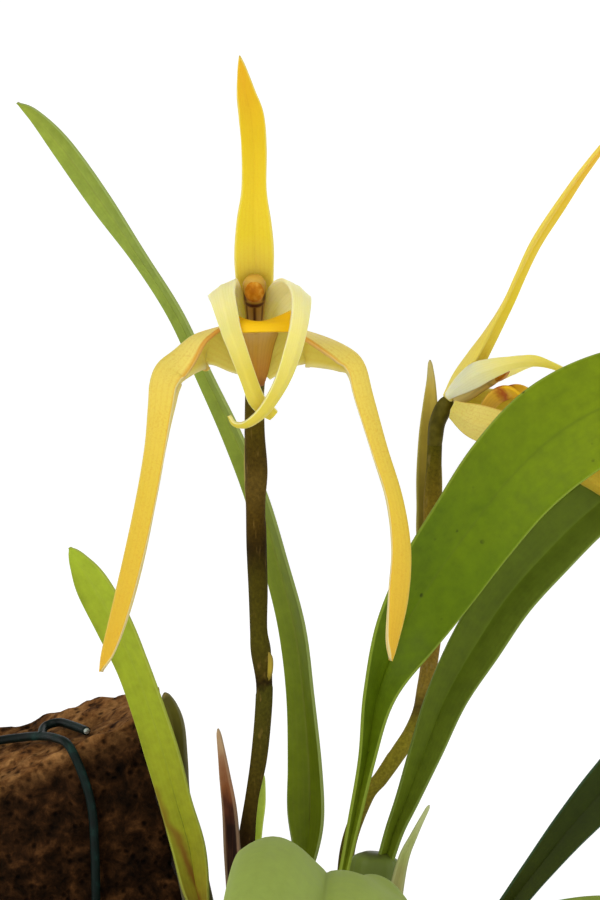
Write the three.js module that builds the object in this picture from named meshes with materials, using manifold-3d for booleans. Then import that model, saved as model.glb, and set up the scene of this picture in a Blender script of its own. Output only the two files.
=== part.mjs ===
// Potted Maxillaria bradei: a clump of one-leaved pseudobulbs with two flowers, in a plain terracotta pot
// with a tied block of tree fern standing in the bark beside the plant.
// Millimetres, +Z up, +X right and -Y to the front; the origin is the middle of the pot's underside.
import * as THREE from "three";
import { mergeVertices } from "three/addons/utils/BufferGeometryUtils.js";
import Module from "manifold-3d";

const wasm = await Module();
wasm.setup();

// Driving dimensions
const GAP = 0.3; // clearance between pieces that touch
const POT_HEIGHT = 100;
const POT_RIM_RADIUS = 65;
const POT_FOOT_RADIUS = 43;
const POT_WALL = 4.5;
const POT_FLOOR = 6;
const RIM_BAND = 17; // height of the thick band under the lip
const RIM_PROUD = 3; // how far that band stands out
const DRAIN_RADIUS = 4.5;
const DRAIN_CIRCLE = 24;
const DRAIN_COUNT = 4;
const DRAIN_SIDES = 12;
const RIM_BEVEL = 1.5;
const POT_SIDES = 36;
const BARK_EDGE = 93; // height of the potting bark at the wall
const BARK_CROWN = 99.5; // and under the plant
const BARK_SHOULDER = [40, 96.6]; // radius and height between the two
const BARK_SIDE_GAP = 0.6; // clearance to the pot's wall
const CHIP_COUNT = 28;
const CHIP_REACH = 47; // the outermost chip's middle
const CHIP_LEAST = [9, 5, 3.5]; // length, width and thickness
const CHIP_MORE = [6, 4, 1.5]; // and how much larger the largest is
const CHIP_TILT = 0.25; // radians either way
const CHIP_PROUD = 0.4; // the most that one is lifted out of the mound
const GOLDEN_ANGLE = Math.PI * (3 - Math.sqrt(5));
const RHIZOME_RADIUS = 2.3;
const RHIZOME_HEIGHT = 94.6;
const BULB_FOOT = RHIZOME_HEIGHT + RHIZOME_RADIUS + GAP;
const ROOT_RADIUS = 0.8;
const WIRE_RADIUS = 0.85;
const LEAF_THICK = 1.2;
const PETAL_THICK = 0.8;
const EDGE_THICK = 0.6; // no blade is thinner

// Colours and finishes
const LOOKS = {
  terracotta: { color: 0xb5653f, roughness: 0.85 },
  bark: { color: 0x6b4528, roughness: 0.95 },
  fern: { color: 0x3a2414, roughness: 1 },
  wire: { color: 0x1e3a30, roughness: 0.4 },
  root: { color: 0xb9b7a4, roughness: 0.8 },
  bulb: { color: 0x6d7a3c, roughness: 0.5 },
  leaf: { color: 0x5f7d20, roughness: 0.4 },
  darkLeaf: { color: 0x3f5a16, roughness: 0.4 },
  youngLeaf: { color: 0x98ac28, roughness: 0.45 },
  paleLeaf: { color: 0x9cb45c, roughness: 0.5 },
  stalk: { color: 0x4f4614, roughness: 0.7 },
  dryBract: { color: 0x7a3c1a, roughness: 0.8 },
  greenBract: { color: 0x9db820, roughness: 0.5 },
  paleBract: { color: 0xa8a468, roughness: 0.6 },
  ovary: { color: 0x8b8f3a, roughness: 0.6 },
  sepal: { color: 0xe3bb38, roughness: 0.45 },
  petal: { color: 0xe9dc84, roughness: 0.45 },
  lip: { color: 0xe6b01c, roughness: 0.4 },
  column: { color: 0xe8dfa0, roughness: 0.45 },
  anther: { color: 0xb9700f, roughness: 0.4 },
};

const potted = new THREE.Group();

// Adds a named piece with its look.
function piece(name, geometry, look, parent = potted) {
  geometry.computeVertexNormals();
  const mesh = new THREE.Mesh(geometry, new THREE.MeshStandardMaterial(LOOKS[look]));
  mesh.name = name;
  parent.add(mesh);
  return mesh;
}

// A closed geometry as a manifold-3d solid, and back.
function solid(geometry) {
  const bare = geometry.clone();
  bare.deleteAttribute("normal");
  bare.deleteAttribute("uv");
  const merged = mergeVertices(bare, 1e-3);
  return new wasm.Manifold(
    new wasm.Mesh({
      numProp: 3,
      vertProperties: merged.attributes.position.array,
      triVerts: new Uint32Array(merged.index.array),
    }),
  );
}

function geometryOf(body) {
  const mesh = body.getMesh();
  return new THREE.BufferGeometry()
    .setAttribute("position", new THREE.BufferAttribute(mesh.vertProperties, 3))
    .setIndex(new THREE.BufferAttribute(mesh.triVerts, 1));
}

// The largest body of a cut solid; the loose scraps are dropped.
function mainBody(body) {
  return body.decompose().sort((a, b) => b.volume() - a.volume())[0];
}

// The same pseudo-random numbers on every run.
function randoms(seed) {
  let state = seed;
  return () => {
    state = (state * 1664525 + 1013904223) % 4294967296;
    return state / 4294967296;
  };
}

// Catmull-Rom through rows of numbers, every column alike.
function smoothRows(rows, cuts) {
  const last = rows.length - 1;
  const mirrored = (end, next) => end.map((v, i) => 2 * v - next[i]);
  const padded = [mirrored(rows[0], rows[1]), ...rows, mirrored(rows[last], rows[last - 1])];
  return Array.from({ length: cuts + 1 }, (_, k) => {
    const place = (k / cuts) * last;
    const span = Math.min(Math.floor(place), last - 1);
    const t = place - span;
    const [a, b, c, d] = padded.slice(span, span + 4);
    return b.map(
      (v, i) =>
        v +
        0.5 *
          t *
          (c[i] - a[i] + t * (2 * a[i] - 5 * v + 4 * c[i] - d[i] + t * (3 * (v - c[i]) + d[i] - a[i]))),
    );
  });
}

function tangentsOf(points) {
  return points.map((_, k) =>
    points[Math.min(k + 1, points.length - 1)]
      .clone()
      .sub(points[Math.max(k - 1, 0)])
      .normalize(),
  );
}

// A closed skin over rings of equally many points. The second half of each ring is split the other way,
// so that the two faces of a thin blade have the same diagonals.
function loft(rings) {
  const n = rings[0].length;
  const positions = rings.flat().flatMap((p) => [p.x, p.y, p.z]);
  const index = [];
  for (let k = 0; k < rings.length - 1; k++) {
    for (let i = 0; i < n; i++) {
      const a = k * n + i;
      const b = k * n + ((i + 1) % n);
      if (i < n / 2) index.push(a, b, b + n, a, b + n, a + n);
      else index.push(a, b, a + n, b, b + n, a + n);
    }
  }
  const end = (rings.length - 1) * n;
  for (let i = 0; i < n / 2 - 1; i++) {
    const j = n - 1 - i;
    index.push(i, j, i + 1, i + 1, j, j - 1);
    index.push(end + i, end + i + 1, end + j, end + i + 1, end + j - 1, end + j);
  }
  return new THREE.BufferGeometry()
    .setAttribute("position", new THREE.Float32BufferAttribute(positions, 3))
    .setIndex(index);
}

// A leaf, sepal, petal or bract. Each row is [x, y, z, half width, fold, turn, billow] along the midrib.
// Fold raises both halves towards the upper face and turn rolls the blade about its midrib, in degrees;
// billow arches each half by that share of its width, and skew gives the right half more of it. The upper
// face looks to the front, unless `across` gives the direction of the right-hand edge at the foot, which
// the midrib then carries along.
const ACROSS = [-1, -0.6, 0, 0.6, 1];
const GROOVE = 1.3; // 1 is a sharp V, 2 a round channel

function blade(rows, cuts, thick, across) {
  const full = rows.map((row) => [...row, 0, 0, 0, 0].slice(0, 8));
  const stations = smoothRows(full, cuts);
  const spine = stations.map(([x, y, z]) => new THREE.Vector3(x, y, z));
  const tangents = tangentsOf(spine);
  const carried = across && new THREE.Vector3(...across);
  const rings = stations.map(([, , , halfWidth, fold, turn, billow, skew], k) => {
    const tangent = tangents[k];
    carried?.addScaledVector(tangent, -tangent.dot(carried)).normalize();
    const side = carried?.clone() ?? new THREE.Vector3(0, 1, 0).cross(tangent).normalize();
    side.applyAxisAngle(tangent, THREE.MathUtils.degToRad(-turn));
    const up = side.clone().cross(tangent);
    const half = Math.max(halfWidth, EDGE_THICK / 2);
    const rise = Math.sin(THREE.MathUtils.degToRad(fold));
    const run = Math.cos(THREE.MathUtils.degToRad(fold));
    const middle = ACROSS.map((u) => [
      u * half * run,
      half * (rise * Math.abs(u) ** GROOVE + (billow + skew * u) * Math.sin(Math.PI * Math.abs(u))),
    ]);
    const offset = (i, way) => {
      const [a, b] = [middle[Math.max(i - 1, 0)], middle[Math.min(i + 1, ACROSS.length - 1)]];
      const length = Math.hypot(b[0] - a[0], b[1] - a[1]);
      const wall = (EDGE_THICK + (thick - EDGE_THICK) * (1 - Math.abs(ACROSS[i]))) / 2;
      const s = middle[i][0] - (way * wall * (b[1] - a[1])) / length;
      const t = middle[i][1] + (way * wall * (b[0] - a[0])) / length;
      return spine[k].clone().addScaledVector(side, s).addScaledVector(up, t);
    };
    const top = ACROSS.map((_, i) => offset(i, 1));
    const under = ACROSS.map((_, i) => offset(i, -1)).reverse();
    return [...top, ...under];
  });
  return loft(rings);
}

// A stalk with its own radius at each row [x, y, z, radius]; flat squeezes it front to back.
function stalk(rows, cuts, sides, flat = 1) {
  const stations = smoothRows(rows, cuts);
  const spine = stations.map(([x, y, z]) => new THREE.Vector3(x, y, z));
  const tangents = tangentsOf(spine);
  const rings = stations.map(([, , , radius], k) => {
    const right = new THREE.Vector3(1, 0, 0);
    right.addScaledVector(tangents[k], -right.dot(tangents[k])).normalize();
    const back = tangents[k].clone().cross(right);
    return Array.from({ length: sides }, (_, i) => {
      const angle = (2 * Math.PI * i) / sides;
      return spine[k]
        .clone()
        .addScaledVector(right, radius * Math.cos(angle))
        .addScaledVector(back, radius * flat * Math.sin(angle));
    });
  });
  return loft(rings);
}

// A round cord or root through points, of one radius.
function tube(points, radius, steps, sides) {
  const path = new THREE.CatmullRomCurve3(points.map((p) => new THREE.Vector3(...p)));
  const section = new THREE.Shape().absarc(0, 0, radius, 0, 2 * Math.PI);
  const options = { steps, curveSegments: sides / 2, bevelEnabled: false, extrudePath: path };
  return new THREE.ExtrudeGeometry(section, options);
}

function turned(profile, sides) {
  const points = profile.map(([r, z]) => new THREE.Vector2(r, z));
  return new THREE.LatheGeometry(points, sides).rotateX(Math.PI / 2);
}

// Pot: thrown terracotta with a band under the lip and four drain holes
const innerRadius = (z) =>
  THREE.MathUtils.mapLinear(
    z,
    POT_FLOOR,
    POT_HEIGHT,
    POT_FOOT_RADIUS - POT_WALL + 1,
    POT_RIM_RADIUS - POT_WALL,
  );

function pot() {
  const band = POT_HEIGHT - RIM_BAND;
  const bodyTop = POT_RIM_RADIUS - RIM_PROUD - 2;
  const profile = [
    [0, 0],
    [POT_FOOT_RADIUS - RIM_BEVEL, 0],
    [POT_FOOT_RADIUS, RIM_BEVEL],
    [bodyTop, band - 2],
    [bodyTop + RIM_PROUD, band],
    [POT_RIM_RADIUS, POT_HEIGHT - RIM_BEVEL],
    [POT_RIM_RADIUS - RIM_BEVEL, POT_HEIGHT],
    [POT_RIM_RADIUS - POT_WALL + 1, POT_HEIGHT],
    [innerRadius(POT_HEIGHT - 1), POT_HEIGHT - 1],
    [innerRadius(POT_FLOOR + 4), POT_FLOOR + 4],
    [innerRadius(POT_FLOOR) - 4, POT_FLOOR],
    [0, POT_FLOOR],
  ];
  let body = solid(turned(profile, POT_SIDES));
  for (let i = 0; i < DRAIN_COUNT; i++) {
    const angle = ((i + 0.5) * 2 * Math.PI) / DRAIN_COUNT;
    const hole = new THREE.CylinderGeometry(DRAIN_RADIUS, DRAIN_RADIUS, 3 * POT_FLOOR, DRAIN_SIDES)
      .rotateX(Math.PI / 2)
      .translate(DRAIN_CIRCLE * Math.cos(angle), DRAIN_CIRCLE * Math.sin(angle), 0);
    body = body.subtract(solid(hole));
  }
  return body;
}

// Pseudobulbs: [x, y, top height, half width, lean of the neck to the right, share of the width left at
// the neck]. Each carries one leaf.
const BULBS = {
  tall: [5.5, 12.5, 118, 5, -0.3],
  short: [-12.5, 4, 112, 5.4, -0.9],
  broad: [10.5, -3.5, 115.5, 5.6, 0.7],
  second: [17.4, 9.6, 123, 6.1, 1.3, 0.7],
  dark: [32.5, 6, 104.5, 5, 1.6],
  front: [9, -23, 114.5, 6, 0],
  side: [27, -13, 107, 5, 1.2],
};
const BULB_FLAT = 0.8; // front to back against side to side
const BULB_RIBS = 6;
const BULB_RIB_DEPTH = 0.07;
const BULB_SIDES = 14;
const BULB_NECK = 0.36;
const BULB_SHAPE = [0.45, 0.85, 1, 0.97, 0.84, 0.62, BULB_NECK]; // radius from foot to neck

function bulb([x, y, top, radius, lean, neck = BULB_NECK], extra = 0) {
  const rings = BULB_SHAPE.map((plain, k) => {
    const height = k / (BULB_SHAPE.length - 1);
    const share = plain + (neck - BULB_NECK) * height ** 4;
    const z = THREE.MathUtils.lerp(BULB_FOOT - extra, top + extra, height);
    const middle = x + lean * height ** 2;
    return Array.from({ length: BULB_SIDES }, (_, i) => {
      const angle = (2 * Math.PI * i) / BULB_SIDES;
      const rib = 1 + BULB_RIB_DEPTH * share * Math.cos(BULB_RIBS * angle);
      const r = (radius * share + extra) * rib;
      return new THREE.Vector3(middle + r * Math.cos(angle), y + r * BULB_FLAT * Math.sin(angle), z);
    });
  });
  return loft(rings);
}

// Leaves, each from the neck of its bulb to its tip
const LEAVES = {
  tall: {
    look: "leaf",
    cuts: 18,
    rows: [
      [5.2, 12.5, 118.4, 1.3, 50, 0],
      [6, 12.5, 123, 3, 42, 14],
      [6.6, 12.6, 130, 4.4, 34, 26],
      [6.5, 13, 139.6, 4.3, 26, 38],
      [5.5, 13.5, 152.2, 3.8, 22, 45],
      [3.9, 14, 164.7, 3.9, 20, 48],
      [0.8, 15, 176.8, 3.7, 20, 50],
      [-2.7, 16, 188.8, 3.4, 20, 50],
      [-7.4, 18, 200.3, 3, 20, 50],
      [-12.9, 20, 211.5, 2.4, 20, 48],
      [-18.4, 22, 222.8, 2.1, 20, 45],
      [-25.3, 25, 233.3, 2, 18, 42],
      [-32.6, 28, 243.7, 2.7, 15, 38],
      [-40.1, 30, 253.9, 2.4, 12, 32],
      [-45.6, 30.8, 260, 1.3, 8, 25],
      [-49.1, 31, 262.6, 0.3, 5, 20],
    ],
  },
  short: {
    look: "youngLeaf",
    cuts: 14,
    rows: [
      [-13.4, 4.2, 112.4, 1.8, 50, 0],
      [-14.6, 4.8, 117, 3, 40, 0],
      [-15.9, 5.4, 125, 3.5, 30, 5],
      [-18.2, 6, 133.3, 3.4, 26, 12],
      [-20.4, 6.8, 141.6, 3.7, 22, 20],
      [-22.9, 7.5, 149.9, 3.7, 20, 26],
      [-25.8, 8.2, 158, 3.8, 18, 30],
      [-29.4, 9, 165.8, 4.2, 16, 30],
      [-33.7, 10, 173.2, 3.7, 12, 28],
      [-36.6, 10.6, 177.6, 1.9, 8, 24],
      [-38.2, 11, 179.9, 0.3, 5, 20],
    ],
  },
  broad: {
    look: "leaf",
    cuts: 18,
    rows: [
      [11.2, -3, 116, 1.3, 60, 0],
      [12.6, -1.2, 122, 1.4, 60, 0],
      [14.4, 0.5, 130.5, 1.8, 58, 0],
      [16.8, 2.5, 141.9, 2.4, 54, 0],
      [18.8, 4.5, 153.4, 4.2, 46, -6],
      [22.9, 6.5, 164.1, 7.2, 34, -12],
      [29, 8.5, 174.2, 8.6, 24, -12],
      [36.2, 10, 183.8, 8.9, 20, -4],
      [43.7, 11, 193.1, 9.6, 18, 4],
      [52.5, 12, 201.1, 10.3, 16, 8],
      [62.8, 12.5, 206.7, 9.8, 16, 10],
      [74.2, 13, 209.6, 8.4, 15, 10],
      [86, 13.5, 208.6, 6.2, 14, 10],
      [97.5, 14, 204.4, 3.4, 12, 8],
      [107, 14.5, 197.4, 0.3, 5, 0],
    ],
  },
  second: {
    look: "darkLeaf",
    cuts: 16,
    rows: [
      [20.6, 10, 123.4, 1.2, 56, 0],
      [22.2, 11.4, 127.6, 2, 50, 0],
      [24.6, 12.5, 133, 2.9, 44, 0],
      [28.1, 14, 141.9, 3.7, 36, 0],
      [32.2, 15.5, 151.8, 4.3, 28, 4],
      [37.6, 17, 161.1, 5.2, 24, 8],
      [43.7, 18.5, 170, 5.4, 22, 12],
      [51, 20, 178.1, 5.6, 20, 14],
      [58.9, 21, 185.6, 5.4, 20, 16],
      [67.7, 22, 191.9, 4.9, 20, 16],
      [78, 23, 195.5, 4.2, 18, 14],
      [88.8, 23.5, 195.8, 2.7, 14, 10],
      [99, 23.5, 192.2, 0.3, 5, 0],
    ],
  },
  dark: {
    look: "darkLeaf",
    cuts: 12,
    rows: [
      [34, 6, 105.3, 0.9, 45, 0],
      [36, 6, 106.6, 1.3, 45, 0],
      [41.3, 6, 111.5, 2.3, 40, 0],
      [48, 6, 120.1, 2.9, 28, 0],
      [54.7, 6, 128.6, 3.8, 24, 0],
      [62, 6.3, 136.6, 4.8, 22, 3],
      [70, 6.8, 143.8, 5.8, 20, 6],
      [79.5, 7.4, 148.7, 5.8, 18, 8],
      [90.1, 8.4, 150.6, 4.4, 14, 8],
      [100.1, 9.5, 150.1, 0.3, 5, 0],
    ],
  },
  front: {
    look: "paleLeaf",
    cuts: 16,
    across: [-1, 0, 0],
    rows: [
      [9, -24, 114.9, 1.4, 60, 0, 0, 0],
      [9, -31, 120.4, 3, 45, 0, 0, 0],
      [9, -42, 127.4, 7.6, 14, 4, 0.08, 0.08],
      [8.9, -53, 131, 12.8, 0, 8, 0.15, 0.2],
      [8.6, -64, 131.2, 14.8, -2, 10, 0.19, 0.23],
      [7.4, -76, 127.2, 15.4, -2, 10, 0.19, 0.23],
      [5.2, -90, 118.8, 14.6, 2, 8, 0.14, 0.16],
      [3, -103, 108, 12, 6, 5, 0.08, 0.08],
      [0.8, -112, 97, 7.2, 10, 0, 0.02, 0],
      [-1, -118, 87, 0.4, 5, 0, 0, 0],
    ],
  },
  side: {
    look: "paleLeaf",
    cuts: 12,
    rows: [
      [28.5, -13, 107.4, 1.3, 50, 40],
      [34, -13.5, 110.6, 2.6, 38, 60],
      [44, -14, 113, 5.2, 22, 72],
      [58, -15, 114.6, 7.2, 16, 74],
      [73, -16, 113, 7.4, 15, 74],
      [88, -17, 107, 5.6, 14, 74],
      [98, -17.5, 99.6, 3, 10, 74],
      [104, -18, 93.6, 0.4, 5, 74],
    ],
  },
};

// Flower stalks, stepped where a dry sheath ends round them
const STALK_SIDES = 10;
const STALKS = {
  1: {
    cuts: 22,
    rows: [
      [-4.6, 0, 97, 1.9],
      [-5.1, 0, 110, 2.3],
      [-5.6, 0, 121, 1.8],
      [-5.05, 0, 129, 1.45],
      [-4.25, 0, 135, 1.25],
      [-3, 0, 142, 1.5],
      [-2.2, 0, 150, 1.5],
      [-2, 0, 156, 1.5],
      [-2.6, 0, 162, 1.85],
      [-3, 0, 166, 1.6],
      [-3.1, 0, 173, 1.75],
      [-3.4, 0, 181, 1.8],
      [-3.5, 0, 189, 1.75],
      [-3.4, 0, 195, 2.05],
      [-3.7, 0, 202, 1.7],
      [-3.7, 0.5, 209, 1.5],
    ],
  },
  2: {
    cuts: 20,
    rows: [
      [12.8, 19.5, 97, 1.6],
      [12.9, 19.5, 110, 1.6],
      [13.6, 20, 121.9, 1.45],
      [17, 21, 131.3, 1.55],
      [19.9, 22, 134.9, 1.65],
      [23.2, 24, 139.4, 1.8],
      [25.7, 26, 142.9, 1.75],
      [27.5, 28, 146.6, 1.7],
      [28.5, 30, 150.6, 1.6],
      [29.5, 32, 156.1, 1.6],
      [30.3, 34, 163.6, 1.7],
      [30.2, 36.5, 175, 1.7],
      [30.2, 38, 186, 1.8],
      [30.4, 38, 193, 1.5],
      [30.6, 38, 198, 1.4],
    ],
  },
};

// Sheaths and bracts, each a strap folded round what it clasps: [rows, look]
const BRACTS = {
  stalk_bract_brown: {
    look: "dryBract",
    rows: [
      [-6.8, -4.6, 99, 1.7, 35, 20],
      [-6.9, -4.6, 115, 1.8, 35, 20],
      [-7.5, -4.4, 126, 1.8, 35, 20],
      [-8.1, -4.1, 133.6, 1.5, 30, 20],
      [-9.2, -3.7, 140.4, 1, 22, 20],
      [-10.4, -3.2, 148.2, 0.3, 5, 20],
    ],
  },
  stalk_bract_green: {
    look: "greenBract",
    rows: [
      [-4.6, 3.8, 99, 1.4, 30, 0],
      [-4.6, 3.7, 115, 1.7, 30, 0],
      [-4.1, 3.3, 127, 1.6, 28, 0],
      [-3.1, 2.9, 133.6, 1.3, 22, 0],
      [-2.2, 2.6, 138.8, 0.3, 8, 0],
    ],
  },
  short_leaf_sheath: {
    look: "dryBract",
    rows: [
      [-11.2, 11, 99, 3, 35, 0],
      [-13.4, 11.4, 109, 3.2, 35, 0],
      [-16.2, 11.6, 122, 3.2, 35, 0],
      [-18.3, 11.8, 132.5, 2.9, 35, 0],
      [-18.7, 12, 140, 2.7, 35, 0],
      [-19, 12.2, 146.4, 2.2, 28, 0],
      [-19.8, 12.3, 150, 1.5, 20, 0],
      [-20.7, 12.4, 152.6, 0.5, 10, 0],
    ],
  },
  second_leaf_bract: {
    look: "paleBract",
    rows: [
      [20.2, 2.4, 99, 1.6, 35, 0],
      [21.6, 2.4, 113, 1.5, 30, 0],
      [23.4, 2.5, 122.5, 1, 25, 0],
      [25.6, 2.8, 127.6, 0.6, 15, 0],
      [28.4, 3.4, 133, 0.3, 5, 0],
    ],
  },
  flower_bract_1: {
    look: "paleBract",
    rows: [
      [-3.6, 3.3, 188, 2, 40, 0],
      [-3.7, 3.3, 197, 2.1, 40, 0],
      [-3.7, 3.6, 206, 1.6, 35, 0],
      [-3.8, 4.2, 214, 0.3, 10, 0],
    ],
  },
  flower_bract_2: {
    look: "paleBract",
    rows: [
      [29.5, 40.8, 177, 2.5, 40, 0],
      [29.6, 41.2, 184, 2.6, 40, 0],
      [29.6, 41.2, 191, 2.6, 40, 0],
      [29.6, 41.2, 199, 2.1, 38, 0],
      [29.8, 41.2, 205.6, 1.4, 32, 0],
      [29.9, 41.2, 209.5, 0.8, 20, 0],
      [29.7, 41.2, 213.4, 0.3, 10, 0],
    ],
  },
};

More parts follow.
